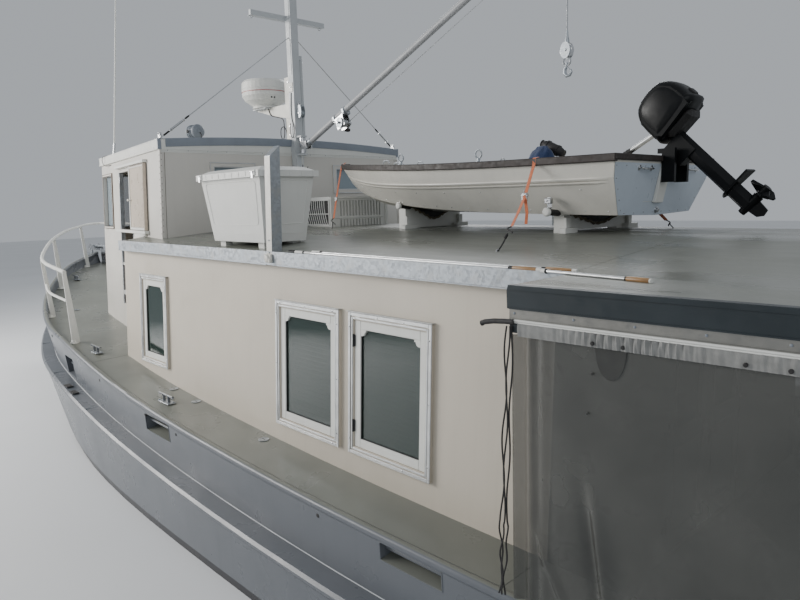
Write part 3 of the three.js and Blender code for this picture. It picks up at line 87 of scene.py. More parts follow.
def smooth_line(points, steps, closed=False):
    """Points on a smooth curve through the given ones, with steps places from each to the next."""
    count = len(points)
    line = []
    for i in range(count if closed else count - 1):
        places = [(i + k) % count if closed else min(max(i + k, 0), count - 1) for k in (-1, 0, 1, 2)]
        p0, p1, p2, p3 = (points[k] for k in places)
        for step in range(steps):
            t = step / steps
            line.append(0.5 * (2 * p1 + (p2 - p0) * t + (2 * p0 - 5 * p1 + 4 * p2 - p3) * t * t
                               + (3 * p1 - p0 - 3 * p2 + p3) * t ** 3))
    return line


def turns(count):
    """The angles of even steps once round."""
    return [2 * math.pi * k / count for k in range(count)]


def oval(a, b, half_a, half_b, count=28):
    """A flat oval outline about a, b."""
    return [(a + half_a * math.cos(turn), b + half_b * math.sin(turn)) for turn in turns(count)]


def hull_at(x):
    low, high = 0.0, len(HULL_ROWS) - 1.0
    for _ in range(30):
        middle = (low + high) / 2
        low, high = (middle, high) if between(HULL_ROWS, middle)[0] < x else (low, middle)
    return between(HULL_ROWS, low)


def deck_z(x):
    row = hull_at(x)
    return row[2] - row[3]


def roof_deck_z(x, y):
    """Top of the boat deck: crowned over the saloon's width and nearly level beyond it."""
    share = min(max((x - DECK["step"]) / (DECK["fwd"] - DECK["step"]), 0), 1)
    edge = DECK["edge"] + DECK["rise"] * share
    if abs(y) > DECK["half"]:
        return edge - 0.008 * (abs(y) - DECK["half"])
    return edge + DECK["crown"] * (1 - (y / DECK["half"]) ** 2)


def half_along(part, start, end, x):
    """Half-breadth at x of a part that narrows straight from start to end."""
    share = (x - part[start]) / (part[end] - part[start])
    return part[start + "_half"] + (part[end + "_half"] - part[start + "_half"]) * share


def cockpit_half(x):
    return half_along(COCKPIT, "fwd", "aft", x)


def roof_half(x):
    return half_along(ROOF, "aft", "fwd", x)


def roof_top(x, y):
    return ROOF["edge"] + ROOF["crown"] * (1 - (y / roof_half(x)) ** 2)


# Places: what is drawn flat on a wall or along a part, put where that wall or part is
ON_HOUSE = (
    Matrix.Translation((0, HOUSE["half"], HOUSE["mid"])) @ Matrix.Rotation(HOUSE["lean"], 4, "X")
    @ Matrix.Translation((0, 0, -HOUSE["mid"]))
)
ON_PILOT = (
    Matrix.Translation((PILOT["aft"], PILOT["aft_half"], PILOT["foot"]))
    @ Matrix.Rotation(-PILOT_ANGLE, 4, "Z")
    @ Matrix.Rotation(PILOT_LEAN, 4, "X") @ Matrix.Translation((0, 0, -PILOT["foot"]))
)
ON_BOOM = Matrix.Translation((BOOM["x"], 0, BOOM["z"])) @ Matrix.Rotation(BOOM["angle"], 4, "Y")
ON_OUTBOARD = (
    Matrix.Translation((OUTBOARD["x"], 0, OUTBOARD["z"])) @ Matrix.Rotation(OUTBOARD["tilt"], 4, "Y")
)
FLIP = Matrix.Scale(-1, 4, (0, 1, 0))
SIDES = (-1, 1)
UP, AFT, FORWARD, PORT = (0, 0, 1), (-1, 0, 0), (1, 0, 0), (0, 1, 0)

# The record's slot that each look belongs to, where a piece names no other
SLOTS = {
    "stainless": "stainless aluminium galvanised slate strip",
    "black_plastic": "rubber black brown_rubber",
    "white_plastic": "plastic red blind",
    "white_paint": "white",
    "glass": "glass clear_glass sky_glass",
    "hull_paint": "hull",
    "deck_paint": "deck",
    "header_paint": "header",
    "house_paint": "band pilot brown tan",
    "mast_paint": "mast",
    "tender_paint": "cream transom",
    "vinyl": "vinyl hem patch strap foam bag",
    "wood": "wood varnish",
    "bronze": "bronze",
}


def along_pilot(x):
    return (x - PILOT["aft"]) / math.cos(PILOT_ANGLE)


class Piece:
    """Closed shapes gathered into one mesh."""

    def __init__(self, place=None):
        self.verts, self.faces = [], []
        self.place = place or Matrix.Identity(4)

    def put(self, verts, faces):
        start = len(self.verts)
        self.verts += [self.place @ Vector(v) for v in verts]
        self.faces += [tuple(start + i for i in face) for face in faces]
        return self

    def box(self, low, high, chamfer=0.0):
        """A box with chamfered edges."""
        low, high = np.minimum(low, high), np.maximum(low, high)
        chamfer = min(chamfer, *((high - low) * 0.45))
        if chamfer <= 0:
            corners = [[(low, high)[(i >> k) & 1][k] for k in range(3)] for i in range(8)]
            faces = [(0, 2, 3, 1), (4, 5, 7, 6), (0, 1, 5, 4), (2, 6, 7, 3), (0, 4, 6, 2), (1, 3, 7, 5)]
            return self.put(corners, faces)
        points = []
        for i in range(8):
            ends = [(i >> k) & 1 for k in range(3)]
            corner = [(low, high)[ends[k]][k] for k in range(3)]
            for axis in range(3):
                points.append([
                    corner[k] if k == axis else corner[k] + (chamfer if ends[k] == 0 else -chamfer)
                    for k in range(3)
                ])
        return self.hull(points)

    def boxes(self, chamfer, *rows):
        """Boxes with one chamfer, each from x, y, z to x, y, z."""
        for row in rows:
            self.box(row[:3], row[3:], chamfer)
        return self

    def hull(self, points):
        """The convex solid round the points."""
        mesh = bmesh.new()
        for point in points:
            mesh.verts.new(point)
        bmesh.ops.convex_hull(mesh, input=mesh.verts)
        bmesh.ops.dissolve_limit(mesh, angle_limit=0.002, verts=mesh.verts, edges=mesh.edges)
        bmesh.ops.recalc_face_normals(mesh, faces=mesh.faces)
        mesh.verts.index_update()
        self.put([v.co.copy() for v in mesh.verts], [[v.index for v in f.verts] for f in mesh.faces])
        mesh.free()
        return self

    def rod(self, start, end, radius, sides=14):
        return self.tube([start, end], radius, sides)

    def tube(self, points, radius, sides=12, closed=False):
        """A round bar along the points, with one radius or one for each point."""
        points = [Vector(p) for p in points]
        radii = radius if hasattr(radius, "__len__") else [radius] * len(points)
        count = len(points)
        verts, normal = [], None
        for i, point in enumerate(points):
            ahead = points[(i + 1) % count] if closed or i + 1 < count else point
            behind = points[i - 1] if closed or i > 0 else point
            along = (ahead - behind).normalized()
            if normal is None:
                normal = along.cross(Vector(UP) if abs(along.z) < 0.9 else Vector(FORWARD))
            normal = (normal - along * normal.dot(along)).normalized()
            side = along.cross(normal)
            verts += [point + radii[i] * (normal * math.cos(turn) + side * math.sin(turn))
                      for turn in turns(sides)]
        faces = []
        for i in range(count if closed else count - 1):
            j = (i + 1) % count
            for k in range(sides):
                m = (k + 1) % sides
                faces.append((i * sides + k, j * sides + k, j * sides + m, i * sides + m))
        if not closed:
            faces += [tuple(range(sides)), tuple(reversed(range((count - 1) * sides, count * sides)))]
        return self.put(verts, faces)

    def link(self, at, plane, half_a, half_b, bar, count=16, sides=8):
        """A closed link of round bar, in the plane of the two axes named."""
        a, b = (Vector([float(letter == axis) for axis in "xyz"]) for letter in plane)
        points = [Vector(at) + a * half_a * math.cos(turn) + b * half_b * math.sin(turn)
                  for turn in turns(count)]
        return self.tube(points, bar, sides, closed=True)

    def prism(self, axis, outline, low, high):
        """A flat outline pushed along an axis; its pairs are the other two axes in x, y, z order."""
        def point(a, b, c):
            return {"x": (c, a, b), "y": (a, c, b)}[axis]
        count = len(outline)
        verts = [point(a, b, low) for a, b in outline] + [point(a, b, high) for a, b in outline]
        faces = [tuple(reversed(range(count))), tuple(range(count, 2 * count))]
        faces += [(i, (i + 1) % count, count + (i + 1) % count, count + i) for i in range(count)]
        return self.put(verts, faces)

    def loft(self, rings):
        """A closed skin over rings of points."""
        count = len(rings[0])
        faces = []
        for r in range(len(rings) - 1):
            for k in range(count):
                m = (k + 1) % count
                faces.append((r * count + k, r * count + m, (r + 1) * count + m, (r + 1) * count + k))
        faces += [tuple(reversed(range(count))), tuple(range((len(rings) - 1) * count, len(rings) * count))]
        return self.put([v for ring in rings for v in ring], faces)

    def board(self, half_at, ends, out_low, out_high, low, high):
        """A straight board along the yacht's side, whose half-breadth at x is half_at(x)."""
        section = [(out_low, low), (out_high, low), (out_high, high), (out_low, high)]
        return self.loft([[(x, half_at(x) + out, z) for out, z in section] for x in ends])

    def lathe(self, at, axis, profile, sides=24):
        """A turned shape: the profile is radius and distance along the axis in turn, in millimetres."""
        axis = Vector(axis).normalized()
        across = axis.orthogonal().normalized()
        other = axis.cross(across)
        rings = []
        for radius, distance in zip(profile[::2], profile[1::2]):
            foot = Vector(at) + axis * (distance / 1000)
            rings.append([foot + radius / 1000 * (across * math.cos(a) + other * math.sin(a))
                          for a in turns(sides)])
        return self.loft(rings)

    def screw(self, at, axis, size):
        """A domed screw head, its radius in millimetres."""
        profile = (size, -1, size, size * 0.2, size * 0.7, size * 0.5, size * 0.25, size * 0.62)
        return self.lathe(at, axis, profile, 10)

    def frame(self, low, high, width, out_low, out_high, chamfer=0.003, athwart=False):
        """A rectangular frame on a wall: low and high are its outer corners along the wall and up."""
        (a0, z0), (a1, z1) = low, high
        bars = [(a0, z0, a0 + width, z1), (a1 - width, z0, a1, z1),
                (a0 + width, z1 - width, a1 - width, z1), (a0 + width, z0, a1 - width, z0 + width)]
        for b0, c0, b1, c1 in bars:
            if athwart:
                self.box((out_low, b0, c0), (out_high, b1, c1), chamfer)
            else:
                self.box((b0, out_low, c0), (b1, out_high, c1), chamfer)
        return self

    def done(self, name, look, slot=None, mirror=False, smooth=35, body="yacht", both=False):
        """Makes the object and, where asked, its mirror image, which with both rides on its own body."""
        slot = slot or next(key for key, looks in SLOTS.items() if look in looks.split())
        made = []
        for suffix in ("_port", "_stbd") if mirror else ("",):
            flip = suffix == "_stbd"
            mesh = bpy.data.meshes.new(name + suffix)
            verts = [tuple(FLIP @ v if flip else v) for v in self.verts]
            mesh.from_pydata(verts, [], [tuple(reversed(f)) for f in self.faces] if flip else self.faces)
            mesh.update()
            work = bmesh.new()
            work.from_mesh(mesh)
            bmesh.ops.recalc_face_normals(work, faces=work.faces)
            work.to_mesh(mesh)
            work.free()
            mesh.materials.append(MATERIALS[look])
            mesh.shade_smooth()
            mesh.set_sharp_from_angle(angle=math.radians(smooth))
            obj = bpy.data.objects.new(name + suffix, mesh)
            bpy.context.scene.collection.objects.link(obj)
            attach(obj, body + suffix if both else body)
            made.append(obj)
        return made if mirror else made[0]


def pieces(count, place=None):
    return [Piece(place) for _ in range(count)]


class Look:
    """A procedural material: a Principled shader with its colour, roughness and bump from nodes."""

    def __init__(self, name, roughness=0.5, metallic=0.0, **sockets):
        self.material = bpy.data.materials.new(name)
        self.material.use_nodes = True
        self.tree = self.material.node_tree
        self.shader = self.tree.nodes["Principled BSDF"]
        self.place = self.node("ShaderNodeTexCoord").outputs["Object"]
        self.normal = self.node("ShaderNodeNewGeometry").outputs["Normal"]
        self.bumped = None
        self.set(Roughness=roughness, Metallic=metallic, **sockets)

    def fill(self, socket, value):
        """Links a socket to another, or gives it a value or a colour."""
        if isinstance(value, bpy.types.NodeSocket):
            self.tree.links.new(value, socket)
        elif socket.type == "RGBA":
            socket.default_value = (*value, 1)
        else:
            socket.default_value = value

    def set(self, **values):
        for name, value in values.items():
            self.fill(self.shader.inputs[name.replace("_", " ")], value)
        return self

    def node(self, kind, inputs=(), **settings):
        made = self.tree.nodes.new(kind)
        for key, value in settings.items():
            setattr(made, key, value)
        for key, value in dict(inputs).items():
            self.fill(made.inputs[key], value)
        return made

    def noise(self, size, detail=3.0, stretch=(1, 1, 1), rough=0.55):
        """Noise whose blots are about size metres across, longer where stretch is less than 1."""
        place = self.node("ShaderNodeMapping", {"Vector": self.place, "Scale": stretch}).outputs[0]
        inputs = {"Vector": place, "Scale": 1 / size, "Detail": detail, "Roughness": rough}
        return self.node("ShaderNodeTexNoise", inputs).outputs["Fac"]

    def math(self, operation, a, b=0.0):
        return self.node("ShaderNodeMath", {0: a, 1: b}, operation=operation).outputs[0]

    def range(self, value, from_low, from_high, to_low=0.0, to_high=1.0):
        inputs = {0: value, 1: from_low, 2: from_high, 3: to_low, 4: to_high}
        return self.node("ShaderNodeMapRange", inputs).outputs[0]

    def mix(self, share, a, b):
        return self.node("ShaderNodeMix", {0: share, 6: a, 7: b}, data_type="RGBA").outputs[2]

    def axis(self, index):
        return self.node("ShaderNodeSeparateXYZ", {0: self.place}).outputs[index]

    def bump(self, height, depth, strength=1.0):
        inputs = {"Height": height, "Distance": depth, "Strength": strength}
        if self.bumped:
            inputs["Normal"] = self.bumped
        self.bumped = self.node("ShaderNodeBump", inputs).outputs[0]
        self.tree.links.new(self.bumped, self.shader.inputs["Normal"])
        return self


def shade(color, factor):
    return tuple(min(channel * factor, 1) for channel in color)


PEEL = 0.0003


def painted(name, color, roughness, mottle, size, dirt=0.0, peel=PEEL, **sockets):
    """Brushed or sprayed paint: soft blotches in tone, orange peel, and streaks of dirt running down."""
    look = Look(name, roughness, 0.0, **sockets)
    blots = look.range(look.noise(size), 0.3, 0.7)
    tone = look.mix(blots, shade(color, 1 - mottle), shade(color, 1 + mottle))
    if dirt:
        streaks = look.range(look.noise(0.05, 5, (1, 1, 0.06)), 0.52, 0.8, 0, dirt)
        tone = look.mix(streaks, tone, shade(color, 0.62))
    fine = look.noise(0.004, 2)
    look.set(Base_Color=tone)
    look.set(Roughness=look.range(look.noise(size * 0.3, 4), 0.3, 0.7, roughness * 0.8, roughness * 1.25))
    return look.bump(fine, peel, 0.6)


def metal_look(name, color, roughness):
    """Metal with a fine grain, finger marks and a little dulling."""
    look = Look(name, roughness, 1.0)
    dull = look.range(look.noise(0.12, 5), 0.35, 0.7)
    look.set(Base_Color=look.mix(dull, color, shade(color, 0.8)))
    look.set(Roughness=look.range(look.noise(0.05, 6), 0.3, 0.7, roughness * 0.75, roughness * 1.5))
    return look.bump(look.noise(0.0015, 2, (1, 1, 0.2)), 0.00008, 0.5)


def galvanised_look():
    """Zinc with its spangle and dull white patches."""
    color = (0.40, 0.43, 0.46)
    look = Look("Galvanised", 0.45, 0.75)
    cells = look.node("ShaderNodeTexVoronoi", {"Vector": look.place, "Scale": 1 / 0.018}).outputs["Color"]
    spangle = look.node("ShaderNodeSeparateColor", {0: cells}).outputs[0]
    tone = look.mix(spangle, shade(color, 0.86), shade(color, 1.12))
    patches = look.range(look.noise(0.09, 5), 0.5, 0.72)
    look.set(Base_Color=look.mix(patches, tone, (0.42, 0.43, 0.43)))
    look.set(Roughness=look.range(spangle, 0, 1, 0.33, 0.52))
    return look.bump(look.noise(0.02, 4), 0.0006, 0.4)


def glass_look(name, color, alpha):
    """Tinted glass, with faint water marks; in the sky glass the pale blue colour is painted sky light
    instead of a tint.
    """
    look = Look(name, 0.04, 0.0, Base_Color=color, Alpha=alpha, Coat_Weight=0.5, Coat_Roughness=0.02)
    look.set(Roughness=look.range(look.noise(0.3, 5, (1, 1, 0.3)), 0.4, 0.75, 0.02, 0.09))
    return look.bump(look.noise(0.5, 1), 0.0005, 0.25)


def vinyl_look():
    """Smoked clear sheet, cloudy in patches, with a clearer strip along its forward edge."""
    look = Look("SmokedVinyl", 0.2, 0.0, Coat_Weight=0.25, Coat_Roughness=0.14)
    cloud = look.range(look.noise(0.6, 4), 0.3, 0.7)
    look.set(Base_Color=look.mix(cloud, (0.052, 0.054, 0.049), (0.098, 0.099, 0.090)))
    look.set(Alpha=look.range(look.axis(0), -5.175, -5.150, 0.74, 0.5))
    look.set(Roughness=look.range(look.noise(0.15, 5), 0.3, 0.7, 0.14, 0.34))
    return look.bump(look.noise(0.25, 2), 0.004, 0.5)


def cloth_look(name, color):
    """Woven cloth, with its threads running both ways."""
    look = Look(name, 0.85, 0.0, Sheen_Weight=0.25)
    inputs = {"Vector": look.place, "Scale": 260.0}
    warp, weft = (look.node("ShaderNodeTexWave", inputs, bands_direction=way).outputs[1] for way in "XZ")
    weave = look.math("MULTIPLY", warp, weft)
    blots = look.range(look.noise(0.05, 4), 0.3, 0.7)
    look.set(Base_Color=look.mix(blots, shade(color, 0.82), shade(color, 1.12)))
    return look.bump(weave, 0.0005, 0.6)


def wood_look(name, color):
    """Wood with its grain along X."""
    look = Look(name, 0.42, 0.0, Coat_Weight=0.25, Coat_Roughness=0.3)
    grain = look.noise(0.012, 6, (0.08, 1, 1), 0.65)
    look.set(Base_Color=look.mix(look.range(grain, 0.35, 0.65), shade(color, 0.55), shade(color, 1.25)))
    look.set(Roughness=look.range(grain, 0.3, 0.7, 0.32, 0.6))
    return look.bump(grain, 0.0008, 0.5)


SILVER = (0.125, 0.135, 0.150)
DECK_GREY = (0.180, 0.186, 0.163)


def hull_look():
    """Silver topsides, olive-grey side decks, bottom paint under water and a dark boot line."""
    look = Look("HullPaint", 0.3, 0.0, Specular_IOR_Level=0.32)
    x, z = look.axis(0), look.axis(2)
    blots = look.range(look.noise(1.1, 3), 0.3, 0.7)
    side = look.mix(blots, shade(SILVER, 0.92), shade(SILVER, 1.06))
    streaks = look.range(look.noise(0.06, 5, (1, 1, 0.05)), 0.55, 0.85, 0, 0.22)
    side = look.mix(streaks, side, shade(SILVER, 0.6))
    deck_blots = look.range(look.noise(0.7, 4), 0.3, 0.7)
    deck = look.mix(deck_blots, shade(DECK_GREY, 0.9), shade(DECK_GREY, 1.1))
    # The deck lies above a line that climbs to the bow
    climb = look.math("MULTIPLY", look.math("MAXIMUM", look.math("ADD", x, 1.2), 0.0), 0.1146)
    above = look.math("GREATER_THAN", z, look.math("ADD", climb, 0.72))
    up = look.node("ShaderNodeSeparateXYZ", {0: look.normal}).outputs[2]
    color = look.mix(look.math("MULTIPLY", above, look.range(up, 0.8, 0.9)), side, deck)
    below = look.range(z, -0.012, -0.004, 1, 0)
    boot = look.math("MULTIPLY", look.range(z, -0.01, -0.004), look.range(z, 0.06, 0.066, 1, 0))
    color = look.mix(boot, color, (0.02, 0.02, 0.024))
    look.set(Base_Color=look.mix(below, color, (0.12, 0.035, 0.03)))
    rough = look.range(look.noise(0.5, 4), 0.3, 0.7, 0.24, 0.38)
    look.set(Roughness=look.math("ADD", rough, look.math("MULTIPLY", below, 0.45)))
    look.bump(look.noise(0.5, 2), 0.006, 0.35)
    return look.bump(look.noise(0.006, 2), 0.00012, 0.3)


PAINTS = {
    # look: material, colour, roughness, mottle, size of the blots, dirt, orange peel
    "house": ("HousePaint", (0.57, 0.515, 0.43), 0.42, 0.045, 0.8, 0.10),
    "pilot": ("PilothousePaint", (0.63, 0.605, 0.555), 0.4, 0.04, 0.8, 0.08),
    "slate": ("SlateGrey", (0.1955, 0.2185, 0.2484), 0.5, 0.1, 0.1),
    "boom": ("BoomPaint", (0.36, 0.365, 0.375), 0.42, 0.07, 0.3, 0.15),
    "white": ("WhitePaint", (0.72, 0.72, 0.68), 0.38, 0.04, 0.3, 0.12),
    "cream": ("TenderPaint", (0.68, 0.66, 0.60), 0.4, 0.05, 0.4, 0.18),
    "header": ("HeaderPaint", (0.013, 0.0205, 0.025), 0.42, 0.14, 0.25, 0.2),
    "mast": ("MastPaint", (0.50, 0.52, 0.53), 0.4, 0.06, 0.4, 0.15),
    "bottom": ("BottomPaint", (0.13, 0.035, 0.03), 0.8, 0.2, 0.3),
    "transom": ("TransomPaint", (0.50, 0.56, 0.63), 0.34, 0.05, 0.3, 0.1),
    "band": ("RoofBandPaint", (0.245, 0.275, 0.32), 0.4, 0.08, 0.4, 0.12),
    "tan": ("DoorPanel", (0.55, 0.47, 0.38), 0.3, 0.05, 0.5),
    "brown": ("BrownEdge", (0.14, 0.10, 0.075), 0.5, 0.12, 0.1),
    "red": ("RedLine", (0.42, 0.05, 0.05), 0.4, 0.1, 0.1),
    "engine": ("EnginePaint", (0.08, 0.10, 0.09), 0.5, 0.15, 0.2),
    "deck": ("DeckPaint", DECK_GREY, 0.33, 0.07, 0.9),
    "rubber": ("BlackRubber", (0.018, 0.017, 0.017), 0.62, 0.25, 0.1, 0, 0.0005),
    "brown_rubber": ("GunwaleRubber", (0.035, 0.027, 0.024), 0.6, 0.3, 0.12, 0, 0.0008),
    "plastic": ("WhitePlastic", (0.70, 0.70, 0.665), 0.45, 0.03, 0.3, 0.08, 0.0005),
    "blind": ("Blind", (0.30, 0.33, 0.31), 0.5, 0.05, 0.2),
}
OTHER_LOOKS = {
    "strip": (metal_look, "TrackStrip", (0.29, 0.285, 0.265), 0.42),
    "stainless": (metal_look, "Stainless", (0.62, 0.63, 0.64), 0.22),
    "aluminium": (metal_look, "Aluminium", (0.66, 0.67, 0.67), 0.38),
    "bronze": (metal_look, "Bronze", (0.32, 0.22, 0.09), 0.35),
    "glass": (glass_look, "DarkGlass", (0.025, 0.045, 0.038), 0.72),
    "clear_glass": (glass_look, "ClearGlass", (0.16, 0.20, 0.21), 0.4),
    # Pale blue and nearly opaque: painted sky light seen in the pilothouse panes, not a tint
    "sky_glass": (glass_look, "SkyGlass", (0.30, 0.37, 0.42), 0.86),
    "hem": (cloth_look, "HemCloth", (0.235, 0.235, 0.225)),
    "patch": (cloth_look, "CurtainPatch", (0.035, 0.036, 0.033)),
    "strap": (cloth_look, "OrangeStrap", (0.62, 0.17, 0.07)),
    "foam": (cloth_look, "ChockPad", (0.14, 0.115, 0.07)),
    "bag": (cloth_look, "KitBag", (0.010, 0.030, 0.095)),
    "wood": (wood_look, "OiledWood", (0.26, 0.14, 0.06)),
    "varnish": (wood_look, "VarnishedGrip", (0.34, 0.185, 0.070)),
    "hull": (hull_look,),
    "galvanised": (galvanised_look,),
    "vinyl": (vinyl_look,),
}


def make_looks():
    looks = {name: painted(*row) for name, row in PAINTS.items()}
    looks["black"] = painted("BlackGloss", (0.0035, 0.0042, 0.005), 0.42, 0.2, 0.3, 0, 0.0001,
                             Specular_IOR_Level=0.22)
    looks.update({name: make(*values) for name, (make, *values) in OTHER_LOOKS.items()})
    deck = looks["deck"]
    deck.set(Roughness=deck.range(deck.noise(0.35, 4, (0.25, 1, 1)), 0.35, 0.7, 0.22, 0.5))
    return {name: look.material for name, look in looks.items()}


MATERIALS = make_looks()

# The looks of the solids, each with the starts of the nodes' names that it dresses
NODE_LOOKS = {
    "hull": "hull", "engine": "engine_block", "bronze": "propeller", "bottom": "rudder", "deck": "boat_deck",
    "house": "saloon_side saloon_bulkhead", "glass": "saloon_glass", "header": "cockpit_header",
    "vinyl": "curtain", "pilot": "pilothouse_side pilothouse_door pilothouse_front pilothouse_aft",
    "clear_glass": "pilothouse_glass", "wood": "saloon_sole pilothouse_sole helm_console swim_platform",
    "white": "aft_door pilothouse_roof chock bow_rail fore_hatch", "mast": "mast", "boom": "boom",
    "plastic": "radome deck_box vent_unit", "slate": "searchlight", "cream": "tender", "black": "outboard",
    "stainless": "helm_wheel boom_swivel hoist_hook boom_winch stay bow_roller",
    "galvanised": "deck_fascia roof_post windlass anchor",
}


def dress_nodes():
    """Gives every CAD node its material: the longest name that the node's own name starts with."""
    starts = {start: look for look, names in NODE_LOOKS.items() for start in names.split()}
    for name, obj in nodes.items():
        look = starts[max((start for start in starts if name.startswith(start)), key=len)]
        for slot in obj.material_slots:
            slot.material = MATERIALS[look]


dress_nodes()


# Stage: camera, floor and lights
FLOOR_REACH = 70
LAMPS = [
    # name, place, aim, width, height, watts, colour
    ("Key", (8.5, 9.5, 6), (0.5, 1.5, 1.6), 8, 5, 1950, (1, 0.98, 0.95)),
    ("Fill", (-15, 9, 8), (-1, 0.5, 2), 11, 8, 400, (0.94, 0.97, 1)),
    ("Rim", (9, -14, 12), (1, 0, 2), 12, 8, 1500, (0.97, 0.985, 1)),
]


def place_in_scene(name, data):
    obj = bpy.data.objects.new(name, data)
    bpy.context.scene.collection.objects.link(obj)
    return obj


def stage():
    lens = bpy.data.cameras.new("Camera")
    lens.lens, lens.sensor_width, lens.clip_end = LENS, 36, 200
    camera = place_in_scene("Camera", lens)
    back = -CAMERA_FORWARD
    right = CAMERA_UP.cross(back).normalized()
    turn = Matrix((right, back.cross(right), back)).transposed().to_4x4()
    camera.matrix_world = Matrix.Translation(CAMERA_AT) @ turn
    bpy.context.scene.camera = camera

    floor = Look("Floor", 0.6, 0.0)
    floor.set(Base_Color=floor.mix(floor.range(floor.noise(3.0), 0.3, 0.7), (0.70, 0.71, 0.72),
                                   (0.74, 0.75, 0.76)))
    mesh = bpy.data.meshes.new("Floor")
    corners = [(x * FLOOR_REACH, y * FLOOR_REACH, 0) for x, y in ((-1, -1), (1, -1), (1, 1), (-1, 1))]
    mesh.from_pydata(corners, [], [(0, 1, 2, 3)])
    mesh.materials.append(floor.material)
    place_in_scene("Floor", mesh)

    world = bpy.data.worlds.new("World")
    world.use_nodes = True
    background = world.node_tree.nodes["Background"]
    background.inputs[0].default_value = (0.86, 0.91, 0.97, 1)
    background.inputs[1].default_value = 0.50
    bpy.context.scene.world = world
    for name, place, aim, width, height, watts, color in LAMPS:
        light = bpy.data.lights.new(name, "AREA")
        light.shape, light.size, light.size_y = "RECTANGLE", width, height
        light.energy, light.color = watts, color
        lamp = place_in_scene(name, light)
        lamp.location = place
        lamp.rotation_euler = (Vector(aim) - Vector(place)).to_track_quat("-Z", "Y").to_euler()


stage()


# Saloon: windows, and the poles on the deck's edge
SALOON_WINDOWS = [(-0.20, 0.47, 1.22, 2.19), (-3.13, -2.30, 1.12, 2.14), (-4.07, -3.25, 1.12, 2.14)]
SASH = 0.0505
CORNER = 0.0635
SLAT = 0.036


def saloon_windows():
    """Aluminium trim over each window's raised frame, a sash with notched top corners, and dark glass."""
    trim, sash, screws, glass, hinges, blinds = pieces(6, ON_HOUSE)
    for index, (x0, x1, z0, z1) in enumerate(SALOON_WINDOWS):
        trim.frame((x0 - 0.004, z0 - 0.004), (x1 + 0.004, z1 + 0.004), 0.026, 0.0225, 0.032)
        trim.frame((x0 + 0.028, z0 + 0.028), (x1 - 0.028, z1 - 0.028), 0.016, 0.0225, 0.029)
        trim.box((x0 - 0.012, 0.0005, z1 + 0.006), (x1 + 0.012, 0.038, z1 + 0.012), 0.002)
        a, b, low, high = x0 + SASH, x1 - SASH, z0 + SASH, z1 - SASH
        sash.frame((a, low), (b, high), 0.064, -0.012, 0.012, 0.004)
        top = high - CORNER
        for end, turn in ((a + CORNER, 1), (b - CORNER, -1)):
            notch = [(end, top), (end, top - 0.045)]
            for angle in (math.radians(15 * k) for k in range(7)):
                notch.append((end + turn * (0.012 + 0.03 * math.sin(angle)),
                              top - 0.015 - 0.03 * math.cos(angle)))
            notch += [(end + turn * 0.055, top - 0.015), (end + turn * 0.055, top)]
            sash.prism("y", notch, -0.010, 0.0105)
        glass.box((a + 0.05, -0.010, low + 0.05), (b - 0.05, -0.006, high - 0.05))
        hinges.frame((a + 0.062, low + 0.062), (b - 0.062, high - 0.062), 0.006, -0.009, 0.004, 0.001)
        shares = (0.08, 0.5, 0.92) if index == 1 else (0.3, 0.62)
        spots = [(x0 + (x1 - x0) * share, z) for z in (z0 + 0.013, z1 - 0.013) for share in shares]
        spots += [(x, z0 + (z1 - z0) * share) for x in (x0 + 0.013, x1 - 0.013) for share in (0.1, 0.5, 0.9)]
        for x, z in spots:
            screws.screw((x, 0.032, z), PORT, 6)
        if index == 2:
            for z in (z0 + 0.16, z1 - 0.24):
                hinges.box((b - 0.012, 0.012, z), (b + 0.018, 0.022, z + 0.085), 0.003)
                hinges.rod((b + 0.003, 0.024, z - 0.003), (b + 0.003, 0.024, z + 0.088), 0.006, 10)
        for k in range(int((high - low - 0.10) / SLAT)):
            z = low + 0.06 + SLAT * k
            blinds.box((a + 0.055, -0.052, z), (b - 0.055, -0.050, z + SLAT * 0.86))
    trim.done("window_trim", "aluminium", mirror=True)
    sash.done("window_sash", "white", mirror=True)
    glass.done("window_pane", "glass", mirror=True)
    hinges.done("window_hinges", "rubber", mirror=True)
    screws.done("window_screws", "stainless", mirror=True)
    blinds.done("window_blinds", "blind", mirror=True)


POLES = [
    # start, end, radius, where the wooden grip starts and ends as shares of the length
    ((-2.62, 2.030), (-4.86, 2.044), 0.0095, 0.93, 1.0),
    ((-2.75, 1.967), (-5.04, 1.992), 0.0062, 0.93, 1.0),
    ((-4.90, 2.060), (-5.545, 2.158), 0.0085, 0.80, 0.985),
]


